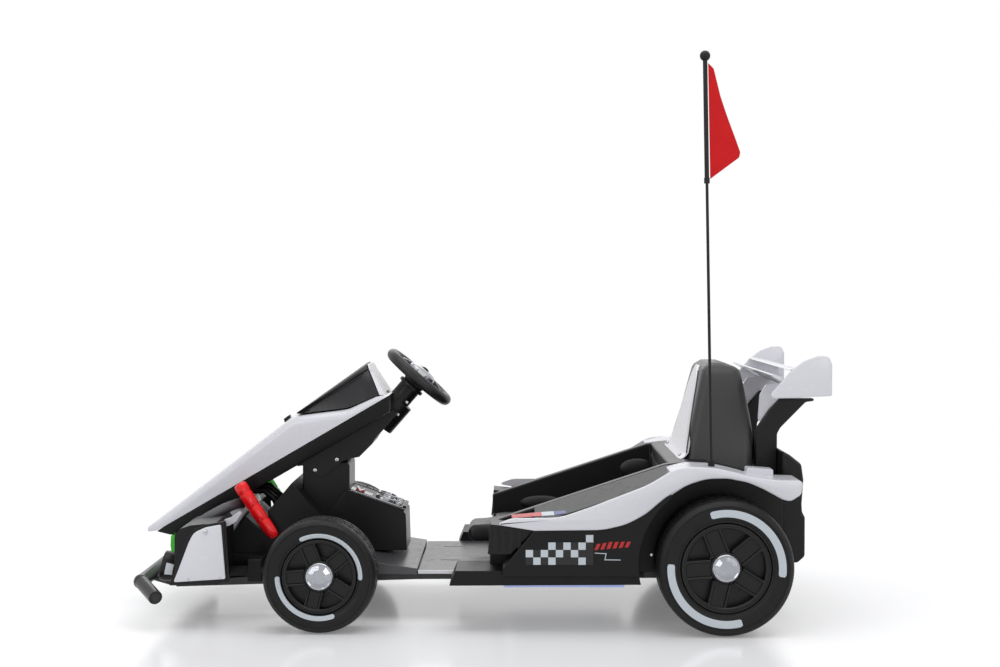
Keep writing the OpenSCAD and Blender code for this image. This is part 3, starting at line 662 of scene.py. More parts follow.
def cap_shape(w):
    """Faceted hub cap"""
    face = w / 2 - 12
    rings = []
    for y, q, sides in ((0.5, 24, 0), (4.6, 24, 0), (5.8, 22.8, 0), (5.8, 21.4, 0), (4.9, 20.6, 1),
                        (8.6, 12.6, 1), (8.8, 9.8, 1), (7.8, 9.2, 0), (8.0, 1.0, 0)):
        ring = []
        for k in range(60):
            a = 2 * math.pi * k / 60
            sector = math.pi / 5
            pull = math.cos((a % sector) - sector / 2) if sides else 1.0
            flat = math.cos(sector / 2) / pull if sides else 1.0
            ring.append((q * flat * math.sin(a), face + y, q * flat * math.cos(a)))
        rings.append(ring)
    return loft(rings)


ARCS = {"front": ((0.685, 0.762, -4, 117), (0.685, 0.762, 179, 292)),
        "rear": ((0.752, 0.862, -8, 107), (0.752, 0.862, 175, 286))}


def build_wheels():
    for end in ("front", "rear"):
        r, w = TYRE_R[end], TYRE_W[end]
        tyre, cap = tyre_shape(r, w), cap_shape(w)
        rim, well = rim_shape(r, w)
        arcs = joined(*[arc_shape(r, w, *arc) for arc in ARCS[end]])
        for side, sign in (("left", 1), ("right", -1)):
            place = Vector((AXLE_X[end], sign * TRACK[end] / 2, r))
            body = f"wheel_{end}_{side}"

            def set_in(shape):
                return moved(shape, lambda v: Vector((v.x, sign * v.y, v.z)) + place)
            piece(f"{body}_tyre", set_in(tyre), RUBBER, body, (f"tyre_{end}_{side}",))
            piece(f"{body}_print", set_in(arcs), INK_WHITE, body)
            piece(f"{body}_rim", set_in(rim), RIM_BLACK, body, (f"rim_{end}_{side}",),
                  sharp=28)
            # The well is painted shade: a near-black sheet behind the spokes
            piece(f"{body}_well", set_in(well), WELL_SHADE, body)
            piece(f"{body}_cap", set_in(cap), CHROME, body, sharp=12)


build_wheels()


# Nose and cowl

def between(x, table):
    """Value at x in a table of (x, value) pairs, which run from high x to low x"""
    if x >= table[0][0]:
        return table[0][1]
    for (x0, v0), (x1, v1) in zip(table, table[1:]):
        if x >= x1:
            return v0 + (v1 - v0) * (x0 - x) / (x0 - x1)
    return table[-1][1]


NOSE_TOP = [(625, 149), (340, 366), (240, 378), (184, 402), (163, 402)]
NOSE_SEAM = [(625, 140), (606, 143), (163, 402)]
NOSE_LOW = [(606, 141), (571, 134), (160, 372)]
NOSE_HALF = [(625, 40), (618, 46), (590, 62), (430, 93), (300, 108), (160, 108)]


def nose_ring(x, grow=0.0):
    """One station of the white skin: upright sides, rounded upper corners, a slight crown"""
    half = between(x, NOSE_HALF) + grow
    top, low = between(x, NOSE_TOP) + grow, between(x, NOSE_SEAM)
    deep = top - low
    corner = min(16.0, deep * 0.7)
    crown = min(3.5, deep * 0.15)
    right = [(half, low), (half, low + (deep - corner) * 0.5)]
    for k in range(7):
        a = math.radians(15 * k)
        right.append((half - corner + corner * math.cos(a), top - crown - corner + corner * math.sin(a)))
    for k in range(1, 5):
        t = 1 - k / 4
        right.append(((half - corner) * t, top - crown * t * t))
    ring = right + [(-y, z) for y, z in reversed(right[:-1])]
    return [(x, y, z) for y, z in ring]


def band_ring(x):
    """One station of the black band: it steps in under the skin and tapers to its bottom"""
    half = between(x, NOSE_HALF) - 1.6
    top, low = between(x, NOSE_SEAM) - 1.2, between(x, NOSE_LOW)
    low = min(low, top - 1.0)
    corner = min(5.0, (top - low) * 0.4)
    right = [(half - 3 - corner, low), (half - 3, low + corner * 0.3), (half - 1.5, low + corner),
             (half, top)]
    ring = right + [(-y, z) for y, z in reversed(right)]
    return [(x, y, z) for y, z in ring]


def stations(first, last, pitch=12.0):
    count = max(2, int(abs(last - first) / pitch))
    return [first + (last - first) * k / count for k in range(count + 1)]


def build_nose():
    xs = [625, 624, 622, 618, 612] + stations(606, 163)
    piece("nose_skin", loft([nose_ring(x) for x in xs]), WHITE, stands_for=("nose_shell",),
          sharp=50)
    piece("nose_side_band", loft([band_ring(x) for x in stations(604, 163)]), BLACK_SIDE,
          stands_for=("nose_band",), sharp=30)


def cowl_ring(t, grow=0.0, draw=0.0):
    """A slanted station of the cowl, from its front point (t = 0) to its rear edge (t = 1)"""
    foot_x = 340 - 158 * t
    foot = Vector((foot_x, between(foot_x, NOSE_TOP)))
    crest = Vector((340 - 131 * t, 366 + 94 * t))
    wide = 93 - 3 * t
    narrow = (93 - 3 * t) * (1 - t) + 52 * t
    middle = (wide + narrow + 12 * t) / 2
    right = [(wide + grow, 0.0), (middle + grow - draw, 0.42), (narrow + 13 * t + grow - draw, 0.76),
             (narrow + 12 * t + grow - draw * 0.6, 0.8), (narrow + 12 * t + grow + 0.7 * draw, 0.84),
             (narrow + 8.5 * t + grow + draw, 0.91), (narrow + 2 * t + grow + 0.5 * draw, 0.975),
             (narrow - 3 + grow, 0.995), (narrow * 0.6, 1.0), (0.0, 1.0)]
    ring = []
    for y, up in right + [(-y, up) for y, up in reversed(right[:-1])]:
        p = foot + (crest - foot) * up
        ring.append((p.x, y, p.y + (grow if up > 0.9 else 0.0)))
    return ring


# Share of the cowl's height by which its white rear strip stays below the crest
CREST_DROP = 0.07


def build_cowl():
    """Black cowl, the white strip that edges its rear, and the tab on the nose in front of it"""
    rings = [cowl_ring(t, draw=0 if k in (0, 12) else 3.5)
             for k, t in enumerate([0.03] + [k / 12 for k in range(1, 12)] + [0.985])]
    piece("cowl_shell", loft(rings), COWL_BLACK, stands_for=("cowl",), sharp=24,
          bevel=1.0)
    crest = cowl_ring(1.0, grow=1.2)
    low, high = min(p[2] for p in crest), max(p[2] for p in crest)
    lean = max(p[0] for p in crest if p[2] == high) - min(p[0] for p in crest if p[2] == low)
    crest = [(x - CREST_DROP * lean * (z - low) / (high - low), y, low + (1 - CREST_DROP) * (z - low))
             for x, y, z in crest]
    strip = []
    for share, shrink in ((0.0, 1.0), (0.12, 1.0), (1.0, 0.99)):
        strip.append([(x - share * (2.0 + 8.0 * (high - z) / (high - low)), y * shrink, z - 0.6 * share)
                      for x, y, z in crest])
    piece("cowl_rear_edge", loft(strip), WHITE, sharp=40)
    tab = slab(fillet([(369, 344), (358, 352), (360, 359), (371, 351)], 1.0), -9, 9)
    piece("nose_tab", tab, BLACK)


build_nose()
build_cowl()


# Steering wheel, in its own frame: z up the column

def on_column(shape):
    a = math.radians(COLUMN_TILT - 90)
    return moved(shape, lambda v: WHEEL_CENTRE + Vector(
        (v.x * math.cos(a) + v.z * math.sin(a), v.y, v.z * math.cos(a) - v.x * math.sin(a))))


def up_column(shape):
    """A shape lathed about +Y stands up along the column"""
    return on_column(moved(shape, lambda v: Vector((v.x, -v.z, v.y))))


def build_steering():
    """Gripped rim, three arms with silver plates, boss, shaft and the horn button"""
    count = 120
    rings = []
    for k in range(count):
        a = 2 * math.pi * k / count
        grip = 0.35 * (0.5 + 0.5 * math.cos(36 * a)) if abs(math.sin(a)) > 0.55 else 0.0
        ring = []
        for m in range(20):
            b = 2 * math.pi * m / 20
            q = RIM_R - (grip if math.cos(b) < 0.3 else 0.0)
            ring.append(((RIM_MID_R + q * math.cos(b)) * math.cos(a),
                         (RIM_MID_R + q * math.cos(b)) * math.sin(a), q * math.sin(b)))
        rings.append(ring)
    rings.append(rings[0])
    rim = loft(rings, cap=False)
    arms, plates = [], []
    for angle in (90, 210, 330):
        a = math.radians(angle)

        def spin(shape):
            return moved(shape, lambda v: Vector((v.x * math.cos(a) - v.y * math.sin(a),
                                                  v.x * math.sin(a) + v.y * math.cos(a), v.z)))
        arm = [[(x, -h, -6 + lift), (x, h, -6 + lift), (x, h, 1 + lift), (x, h - 2, 3 + lift),
                (x, -h + 2, 3 + lift), (x, -h, 1 + lift)]
               for x, h, lift in ((14, 13, 9), (30, 11, 7), (46, 9, 2), (RIM_MID_R - 4, 11, -1))]
        arms.append(spin(loft(arm)))
        plate = [[(x, -h, low), (x, h, low), (x, h, low + 2.2), (x, h - 1.5, low + 3.4),
                  (x, -h + 1.5, low + 3.4), (x, -h, low + 2.2)]
                 for x, h, low in ((18, 13, 13), (28, 10, 10.6), (40, 7.5, 7.2), (50, 6.5, 4.4),
                                   (54, 3, 3.2))]
        plates.append(spin(loft(plate)))
    boss = up_column(lathe([(-24, 0.5), (-24, 17), (-20, 20), (-6, 27), (3, 28), (5, 26), (5, 0.5)], 60))
    shaft = up_column(lathe([(-110, 0.5), (-110, 7.8), (-17, 7.8), (-17, 0.5)], 32))
    piece("steering_wheel_rim", joined(on_column(rim), on_column(joined(*arms)), boss, shaft), GRIP,
          "steering", ("steering_wheel",), sharp=40)
    ring = up_column(lathe([(4, 20), (4, 29), (10, 29), (14, 27), (17.5, 21), (18.4, 13), (16, 11.5),
                            (4, 11.5)], 72, close=True))
    piece("steering_hub_cover", joined(ring, on_column(joined(*plates))), SILVER, "steering",
          ("steering_hub",), sharp=30)
    button = up_column(lathe([(4, 0.4), (4, 8.4), (17, 8.2), (20, 7), (21.4, 4.5), (21.8, 0.4)], 40))
    piece("horn_button", button, BLACK, "steering", sharp=40)


build_steering()


# Plates, panels and prints

def build_plates():
    dark = fillet([(532, 82), (436, 88), (440, 191), (474, 186), (497, 177), (508, 158), (526, 106)],
                  [3, 3, 4, 30, 26, 34, 20])
    piece("side_plate_backs", both(slab(dark, 283.4, 286.4)), BLACK, stands_for=("front_plates",),
          bevel=0.8)
    white = fillet([(529, 85), (437.5, 91), (445, 186.5), (472, 181.5), (493, 172), (502, 154),
                    (521, 104)], [3, 3, 3, 28, 24, 32, 18])
    piece("side_plates", both(moulded_panel(white, 286, 290, 1.4, 1.2)), WHITE,
          sharp=50)


def build_fins():
    fin = fillet([(-511, 406), (-551, 453), (-575, 472), (-600, 481), (-619, 481), (-625, 466), (-625, 411)],
                 [8, 30, 34, 30, 12, 16, 4])
    outer = moulded_panel(fin, 269, 273, 3.0, 1.6)
    inner = moved(moulded_panel(fin, 0, 3.4, 3.0, 1.6), lambda v: Vector((v.x, 270.0 - v.y, v.z)))
    piece("wing_end_fins", both(joined(outer, inner)), WHITE, stands_for=("wing_fins",),
          sharp=50)


FENDER_IN = 224.0
PANEL_BACK = 313.8
PANEL_FACE = 320.0


def build_pod_panels():
    """White side panels that sweep over the rear wheels, with the fenders' tops behind them"""
    outline = fillet(
        [(-34, 191), (-66, 202), (-145, 202), (-203, 222), (-300, 259), (-345, 287), (-372, 291),
         (-415, 289), (-448, 282), (-478, 274), (-522, 268), (-568, 267), (-564, 243), (-546, 231.5),
         (-533, 234), (-500, 252), (-473, 264), (-438, 271), (-402, 270.5), (-370, 261), (-328, 237),
         (-296, 209), (-262, 191), (-222, 181.5), (-104, 180)],
        [5, 40, 120, 120, 200, 60, 60, 120, 120, 120, 160, 8, 10, 16, 40, 90, 80, 80, 90, 120, 120,
         120, 110, 140, 30], 5)
    piece("pod_side_panels", both(moulded_panel(outline, PANEL_BACK, PANEL_FACE, 3.0, 2.4)), WHITE,
          stands_for=("pod_panels",), sharp=60)
    top = fillet(
        [(-338, 283), (-372, 291), (-415, 289), (-448, 282), (-478, 274), (-522, 268), (-568, 267),
         (-564, 243), (-546, 231.5), (-533, 234), (-500, 252), (-473, 264), (-438, 271), (-402, 270.5),
         (-370, 261), (-338, 240)],
        [2, 60, 120, 120, 120, 160, 8, 10, 16, 40, 90, 80, 80, 90, 100, 2], 5)
    block = fillet([(-478, 272), (-478, 284), (-524, 281), (-524, 266)], [2, 3, 3, 2], 3)
    piece("fender_tops", both(joined(slab(top, FENDER_IN, PANEL_BACK), slab(block, FENDER_IN, 262))),
          WHITE, sharp=50, bevel=1.2)


def foil(front, rear, thick, y0, y1):
    """A wing blade between two points, rounded at its leading edge"""
    a, b = Vector(front), Vector(rear)
    way = (b - a).normalized()
    up = Vector((-way.y, way.x))
    if up.y < 0:
        up = -up
    shares = [0, 0.04, 0.12, 0.3, 0.55, 0.8, 1.0]
    tall = [0.0, 0.45, 0.75, 1.0, 0.85, 0.5, 0.18]
    upper = [a + (b - a) * s + up * thick * t for s, t in zip(shares, tall)]
    lower = [a + (b - a) * s - up * thick * 0.35 * t for s, t in zip(shares, tall)]
    return slab([tuple(p) for p in upper] + [tuple(p) for p in reversed(lower[1:])], y0, y1)


WING_HALF = 267
BLADE_THICK = 5


def build_wing():
    """Two blades between the fins and the white arms that carry them"""
    blades = joined(foil((-518, 448), (-577, 418), BLADE_THICK, -WING_HALF, WING_HALF),
                    foil((-551, 456), (-604, 447), BLADE_THICK, -WING_HALF, WING_HALF))
    arm = fillet([(-514, 348), (-535, 380), (-554, 399), (-600, 400), (-590, 450), (-580, 452),
                  (-560, 428), (-530, 424), (-518, 405)], [8, 10, 6, 6, 6, 6, 10, 8, 10])
    arms = both(slab(arm, 126.5, 133.5))
    piece("wing_blades_and_arms", joined(blades, arms), WHITE, stands_for=("wing_blades",),
          sharp=40, bevel=0.8)


CHECK_PITCH = 13.05
CHECK_WHITE = {0: (8,), 1: (3, 5, 7), 2: (0, 2, 4, 6), 3: (1, 3, 7)}
CHECK_ROWS = 4
CHECK_COLUMNS = 9
CHECK_START = (-88.0, 172.4)
PRINT_Y = 314.0
PRINT_LIFT = 0.25


def print_tile(x0, x1, z0, z1):
    return slab([(x0, z0), (x1, z0), (x1, z1), (x0, z1)], PRINT_Y, PRINT_Y + PRINT_LIFT)


def build_prints():
    """Checker, a thin stepped line and a row of red bars on both sides"""
    white, dark = [], []
    for row in range(CHECK_ROWS):
        for column in range(CHECK_COLUMNS):
            x = CHECK_START[0] - CHECK_PITCH * column
            z = CHECK_START[1] - CHECK_PITCH * row
            tile = print_tile(x, x - CHECK_PITCH + 0.3, z, z - CHECK_PITCH + 0.3)
            if column in CHECK_WHITE[row]:
                white.append(tile)
            elif row > 0 and (row > 1 or column > 2):
                dark.append(tile)
    line = [(-207.6, 140.4), (-226.6, 139.2), (-224.4, 128.6), (-252.5, 128.2), (-252.5, 129.6),
            (-226.2, 130), (-228.2, 140.6), (-207.6, 141.6)]
    white.append(slab(line, PRINT_Y, PRINT_Y + PRINT_LIFT))
    piece("checker_white", both(joined(*white)), INK_WHITE)
    piece("checker_dark", both(joined(*dark)), INK_GREY)
    bars = []
    for k in range(6):
        x, low = -207 - 10.5 * k, 146 + 0.9 * k
        tall = 13 - 0.8 * abs(k - 2)
        bar = [(x, low), (x - 6.4, low + 0.8), (x - 10.8, low + tall), (x - 4.4, low + tall - 0.6)]
        bars.append(slab(bar, PRINT_Y, PRINT_Y + PRINT_LIFT))
    piece("red_flash", both(joined(*bars)), INK_RED)


ROOF_START = Vector((-26, 224, 184))
ROOF_BACK = Vector((-0.9511, 0, 0.3090))
ROOF_OUT = Vector((-0.0590, 0.9816, -0.1815))


def roof_tile(f0, f1, half=11.0):
    """A thin patch on the sloping top of the left pod, along the white panel's upper edge"""
    up = ROOF_OUT.cross(ROOF_BACK).normalized()
    up = up if up.z > 0 else -up
    corners = []
    for f, side in ((f0, -1), (f1, -1), (f1, 1), (f0, 1)):
        corners.append((39 + 95 * f, min(89.0, max(1.0, 9 + 74 * f + half * side))))
    verts = [ROOF_START + ROOF_BACK * s + ROOF_OUT * t + up * h for h in (0.0, 0.5) for s, t in corners]
    return verts, [(0, 1, 2, 3), (7, 6, 5, 4), (0, 1, 5, 4), (1, 2, 6, 5), (2, 3, 7, 6), (3, 0, 4, 7)]


def build_roof_stripes():
    stripes = (("red", 0, 0.56, INK_RED), ("white", 0.56, 0.78, INK_WHITE), ("blue", 0.78, 1, INK_BLUE))
    for colour, start, end, ink in stripes:
        piece(f"roof_stripe_{colour}", both(roof_tile(start, end)), ink)


build_plates()
build_fins()
build_pod_panels()
build_wing()
build_prints()
build_roof_stripes()


# Seat

def oval_ring(z, half, front, rear, corner, steps=6):
    """A rounded rectangle at height z"""
    corner = min(corner, half * 0.9, abs(front - rear) * 0.48)
    corners = [(front - corner, half - corner, 0), (rear + corner, half - corner, 90),
               (rear + corner, -half + corner, 180), (front - corner, -half + corner, 270)]
    ring = []
    for cx, cy, first in corners:
        for k in range(steps + 1):
            a = math.radians(first + 90 * k / steps)
            ring.append((cx + corner * math.cos(a), cy + corner * math.sin(a), z))
    return ring


BACK_HALF = [(462, 84), (455, 96), (446, 104), (430, 112), (300, 149), (266, 154)]
BACK_FRONT = [(462, -421), (455, -418), (440, -414.5), (390, -402.5), (300, -382.5), (266, -376)]
BACK_REAR = [(462, -468), (455, -480), (449, -487), (409, -495), (346, -506), (266, -504)]


def build_seat_back():
    """Grey back that narrows upwards, with piping along the edges of its white front"""
    rings = []
    heights = [268, 276, 292, 310, 340, 370, 400, 425, 440, 448, 454, 458, 460.5, 461.8]
    for z in heights:
        tuck = max(0.0, z - 452) * 0.9
        rings.append(oval_ring(z, between(z, BACK_HALF) - tuck, between(z, BACK_FRONT) - tuck,
                               between(z, BACK_REAR) + tuck, 18))
    piece("seat_back_shell", loft(rings), GREY_BACK, stands_for=("seat_back",), sharp=45)
    seam = [(between(z, BACK_FRONT) + 0.6, between(z, SHEET_HALF) + 1.2, z) for z in range(300, 448, 8)]
    piece("seat_back_piping", both(sweep(seam, 1.3, 8)), PIPING)


SHEET_PATH = [(-363, 284), (-366, 289), (-373, 294), (-379, 301), (-386, 330), (-392, 360), (-399, 390),
              (-406, 420), (-411, 440), (-413.5, 450), (-415, 455)]
SHEET_HALF = [(455, 20), (450, 30), (440, 46), (420, 64), (390, 85), (360, 105), (330, 129), (300, 152),
              (284, 158)]


def build_seat_front():
    """White front of the seat back, rolled over at its sides, and the dark lining below it"""
    rings = []
    for x, z in SHEET_PATH:
        half = between(z, SHEET_HALF)
        outer, inner = [], []
        for k in range(25):
            s = -1 + 2 * k / 24
            roll = 5.0 * max(0.0, (abs(s) * half - half + 14) / 14) ** 2
            outer.append((x - roll, s * half, z))
            inner.append((x - roll - 2.2, s * (half - 0.5), z - 0.8))
        rings.append(outer + list(reversed(inner)))
    piece("seat_front_sheet", loft(rings), WHITE, stands_for=("seat_shell",), sharp=50)
    bolster = []
    for y in range(-160, 161, 16):
        side = min(1.0, (160 - abs(y)) / 60)
        bolster.append([(-338 - 6 * (1 - side), y, 152), (-341 - 6 * (1 - side), y, 236),
                        (-345 + 4 * (1 - side), y, 262 + 6 * (1 - side)), (-353, y, 280 + 3 * (1 - side)),
                        (-362, y, 286), (-372, y, 284), (-358, y, 252), (-346, y, 152)])
    piece("seat_lining", loft(bolster), VINYL, sharp=60)
    screws = [turned(screw_shape(3.4), (0.85, 0, 0.5), (-372.4, y, 295)) for y in (-128, 128)]
    piece("seat_front_screws", joined(*screws), STEEL)


def screw_shape(r):
    """Pan head with a small raised cross, standing along +Y from zero"""
    head = lathe([(-1, 0.3), (-1, r * 0.9), (0.2, r), (0.4 * r, 0.86 * r), (0.55 * r, 0.5 * r),
                  (0.58 * r, 0.3)], 20)
    bar = 0.16 * r
    arm = 0.55 * r
    cross = [slab([(-wide, -tall), (wide, -tall), (wide, tall), (-wide, tall)], 0.5 * r, 0.62 * r)
             for wide, tall in ((arm, bar), (bar, arm))]
    return joined(head, *cross)


# Cushion, in metres: its even mesh, how far it may swell, and the sewn channels
PAD_VOXEL = 0.006
PAD_SWELL = 0.005
CHANNEL_Y = (-0.085, 0.085)
CHANNEL_X = (-0.07, -0.17, -0.27)
CHANNEL_WIDE = 0.005
CHANNEL_DEEP = 0.0035
CHANNEL_FROM_Z = 0.135
CHANNEL_RISE = 0.015


def build_cushion():
    """Padded seat: a slack block, blown up as cloth, then pressed along its sewn channels"""
    outline = fillet([(-28, 150), (-24, 130), (-30, 112), (-60, 108), (-330, 108), (-330, 150)],
                     [8, 8, 8, 10, 10, 12])
    front = fillet([(14, 157), (23, 148), (23, 133), (10, 124), (-60, 124), (-60, 157)],
                   [4, 4, 4, 4, 2, 2])
    start = joined(slab(outline, -164, 164), slab(front, -52, 52))
    pad = piece("seat_pad", start, VINYL, stands_for=("seat_cushion",), sharp=60)
    bpy.context.view_layer.objects.active = pad
    remesh = pad.modifiers.new("Even mesh", "REMESH")
    remesh.mode = "VOXEL"
    remesh.voxel_size = PAD_VOXEL
    apply_modifiers(pad)
    rest = [v.co.copy() for v in pad.data.vertices]
    cloth = pad.modifiers.new("Padding", "CLOTH")
    cloth.settings.use_pressure = True
    cloth.settings.uniform_pressure_force = 4.0
    cloth.settings.effector_weights.gravity = 0.0
    cloth.settings.quality = 5
    cloth.collision_settings.use_collision = False
    for step in range(1, 21):
        bpy.context.scene.frame_set(step)
    apply_modifiers(pad)
    bpy.context.scene.frame_set(1)
    for v, was in zip(pad.data.vertices, rest):
        way = v.co - was
        if way.length > PAD_SWELL:
            v.co = was + way.normalized() * PAD_SWELL
        top = max(0.0, min(1.0, (v.co.z - CHANNEL_FROM_Z) / CHANNEL_RISE))
        if top > 0:
            dip = 0.0
            for y in CHANNEL_Y:
                dip += math.exp(-((v.co.y - y) / CHANNEL_WIDE) ** 2)
            for x in CHANNEL_X:
                if abs(v.co.y) < CHANNEL_Y[1]:
                    dip += math.exp(-((v.co.x - x) / CHANNEL_WIDE) ** 2)
            v.co.z -= CHANNEL_DEEP * min(1.0, dip) * top
    smooth = pad.modifiers.new("Smooth cover", "SUBSURF")
    smooth.levels = smooth.render_levels = 1
    for face in pad.data.polygons:
        face.use_smooth = True
    edge = fillet([(-27, -164), (-27, 164), (-333, 164), (-333, -164)], 16, 8)
    path = [(x, y, 148.0) for x, y in edge]
    piece("seat_pad_piping", sweep(path, 1.6, 8, closed=True), PIPING)


# Inner face of the left cockpit wall
WALL_IN = 198.2


def wall_pad(x, z, long, tall):
    """Raised oval on the inner face of the left cockpit wall"""
    rings = []
    for share, out in ((1.0, 0.0), (0.97, 1.4), (0.85, 3.2), (0.55, 4.6), (0.2, 5.2)):
        rings.append([(x + long * share * math.cos(a), WALL_IN - out, z + tall * share * math.sin(a))
                      for a in (2 * math.pi * k / 40 for k in range(40))])
    return loft(rings)


def build_wall_pads():
    ovals = joined(wall_pad(-124, 166, 44, 15), wall_pad(-318, 236, 36, 20))
    piece("wall_pads", both(ovals), VINYL, sharp=50)


def apply_modifiers(held):
    graph = bpy.context.evaluated_depsgraph_get()
    graph.update()
    fresh = bpy.data.meshes.new_from_object(held.evaluated_get(graph))
    held.modifiers.clear()
    held.data = fresh


build_seat_back()
build_seat_front()
build_cushion()
build_wall_pads()


# Console, switches, lamps and fastenings

PANEL_REAR = Vector((138.0, 0.0, 185.3))
PANEL_FRONT = Vector((247.0, 0.0, 223.0))


def on_panel(shape):
    """Shapes drawn flat, x up the slope from its rear edge, y across, z out of the panel"""
    way = (PANEL_FRONT - PANEL_REAR).normalized()
    out = Vector((-way.z, 0, way.x))
    return moved(shape, lambda v: PANEL_REAR + way * v.x + Vector((0, v.y, 0)) + out * v.z)


def standing(shape, x, y, z=0.0):
    """A shape lathed about +Y, standing on the panel"""
    return on_panel(moved(shape, lambda v: Vector((v.x + x, -v.z + y, v.y + z))))


def flat_plate(outline, low, high):
    return on_panel(moved(slab(outline, 0, 1), lambda v: Vector((v.x, v.z, low + (high - low) * v.y))))


def build_console():
    """Bezels, gauges with their marks, and dark glass on the sloping panel"""
    border = fillet([(5, -55), (5, 55), (111, 58), (111, -58)], 9)
    bezel = [on_panel(sweep([(p[0], p[1], 0.8) for p in border], 1.3, 10, closed=True))]
    for x, y, r in ((40, 26, 17), (40, -26, 17)):
        bezel.append(standing(lathe([(0, r + 3), (4.5, r + 2.6), (6, r + 1), (6, r - 1), (3, r - 1.6),
                                     (0, r - 1.6)], 64, close=True), x, y, 1.0))
    for x, y in ((14, 34), (14, 12), (14, -12), (14, -34)):
        bezel.append(standing(lathe([(0, 7.2), (2.4, 7.0), (3.2, 6.0), (2.4, 5.4), (0, 5.4)], 32, close=True),
                              x, y, 1.0))
    piece("console_bezel", joined(*bezel), SILVER, sharp=35)
    glass = [standing(lathe([(0.5, 0.4), (0.5, r), (3.8, r), (4.4, r * 0.6), (4.6, 0.4)], 48), x, y, 1.0)
             for x, y, r in ((40, 26, 16), (40, -26, 16), (14, 34, 5.2), (14, 12, 5.2), (14, -12, 5.2),
                             (14, -34, 5.2))]
    glass.append(flat_plate(fillet([(66, 14), (66, 50), (108, 52), (108, 14)], 3), 1.4, 2.1))
    piece("console_glass", joined(*glass), GLASS_DARK, sharp=30)
    marks = []
    for y in (26, -26):
        for k in range(9):
            a = math.radians(-120 + 30 * k)
            c, s = math.cos(a), math.sin(a)
            marks.append(flat_plate([(40 + 11 * c - 0.5 * s, y + 11 * s + 0.5 * c),
                                     (40 + 14 * c - 0.5 * s, y + 14 * s + 0.5 * c),
                                     (40 + 14 * c + 0.5 * s, y + 14 * s - 0.5 * c),
                                     (40 + 11 * c + 0.5 * s, y + 11 * s - 0.5 * c)], 5.2, 5.7))
    piece("gauge_marks", joined(*marks), INK_WHITE)
    tab = flat_plate(fillet([(-2, -40), (-2, 40), (5, 46), (5, -46)], 2), -3, 3.4)
    piece("console_end_tab", tab, BLACK, bevel=0.6)


def build_screws():
    """Fastenings that the photograph shows, and their twins on the other side"""
    near = [((472, 290.0, 174), 4.6), ((503, 290.0, 90), 2.6), ((447, 290.0, 93), 2.6)]
    silver = [turned(screw_shape(r), (0, 1, 0), place) for place, r in near]
    on_ear = [((305, 66.2, 259), 4.0), ((264, 66.2, 279), 4.0)]
    silver += [turned(screw_shape(r), (0, 1, 0), place) for place, r in on_ear]
    silver += [turned(screw_shape(3.0), (0, 1, 0), (135, 29.0, 384)),
               turned(screw_shape(3.0), (0, 1, 0), (152, 29.6, 361))]
    silver.append(turned(screw_shape(2.6), (0, 1, 0), (-306, 314.2, 138)))
    piece("silver_screws", both(joined(*silver)), STEEL, sharp=30)
    way = Vector((-37.5, 60, -18)).normalized()
    plug = lathe([(0.0, 0.4), (0.0, 11.2), (1.8, 10.6), (2.4, 8.8), (1.4, 7.8), (1.4, 0.4)], 40)
    tip = Vector((558, 300, 60)) + way * -1.8
    piece("bumper_end_plugs", both(turned(plug, way, tip)), BLACK, sharp=30)
    bolt = turned(lathe([(0, 0.4), (0, 5.2), (5, 5.2), (5.6, 4.4), (5.6, 0.4)], 6), (0, 1, 0), (246, 286, 66))
    piece("hub_bolt_left", bolt, BRASS, "knuckle_left")
    piece("hub_bolt_right", mirrored(bolt), BRASS, "knuckle_right")


def strut_shape(sign):
    """A moulded shock cover: a thick shouldered top, shallow ribs and a tapered foot"""
    top, foot = Vector((438, sign * 130, 241)), Vector((372, sign * 130, 142))
    way = (foot - top).normalized()
    side, face = Vector((0, 1, 0)), way.cross(Vector((0, 1, 0)))
    long = (foot - top).length
    rings = []
    for share, r in ((0.0, 7), (0.012, 10.5), (0.04, 12.4), (0.12, 13), (0.15, 12.8), (0.165, 12),
                     (0.185, 12), (0.2, 12.7), (0.40, 12.6), (0.415, 11.7), (0.44, 11.7), (0.455, 12.4),
                     (0.66, 12), (0.675, 11.1), (0.7, 11.1), (0.715, 11.8), (0.9, 11), (0.965, 9.6),
                     (1.0, 6)):
        bow = math.sin(math.pi * share)
        ring = []
        for k in range(28):
            a = 2 * math.pi * k / 28
            flat = 1.0 - 0.10 * abs(math.sin(2 * a))
            ring.append(top + way * (long * share) + face * bow
                        + (side * math.cos(a) + face * math.sin(a)) * r * flat)
        rings.append(ring)
    return loft(rings)


def build_struts():
    piece("shock_cover_left", strut_shape(1), RED, stands_for=("strut_left",), sharp=40)
    piece("shock_cover_right", strut_shape(-1), GREEN, stands_for=("strut_right",),
          sharp=40)


def build_hood():
    """White hood under the nose, with white horns, grey ducts and black hoses beside it"""
    hood = fillet([(430, 184), (464, 131), (464, 80), (552, 80), (561, 94), (556, 122), (538, 146),
                   (491, 176), (436, 210)], [3, 6, 3, 5, 14, 14, 24, 30, 3])
    piece("hood_shell", slab(hood, -100, 100), WHITE, stands_for=("front_hood",),
          bevel=3.0)
    horn = fillet([(458, 170), (458, 182), (442, 187), (428, 198), (423, 194), (431, 181), (444, 173)],
                  [1, 1, 12, 2, 2, 10, 10])
    piece("white_horns", both(slab(horn, 186, 204)), WHITE, bevel=2.0)
    duct = sweep([(500, 176, 176), (484, 168, 186), (462, 150, 197), (442, 122, 203), (438, 98, 200)],
                 9.5, 18)
    piece("grey_ducts", both(duct), MOTOR_GREY, sharp=40)
    hose = sweep([(458, 34, 184), (446, 34, 204), (426, 34, 218), (404, 34, 218), (384, 34, 200),
                  (372, 34, 168)], 7, 14)
    piece("black_hoses", both(hose), BLACK, sharp=40)


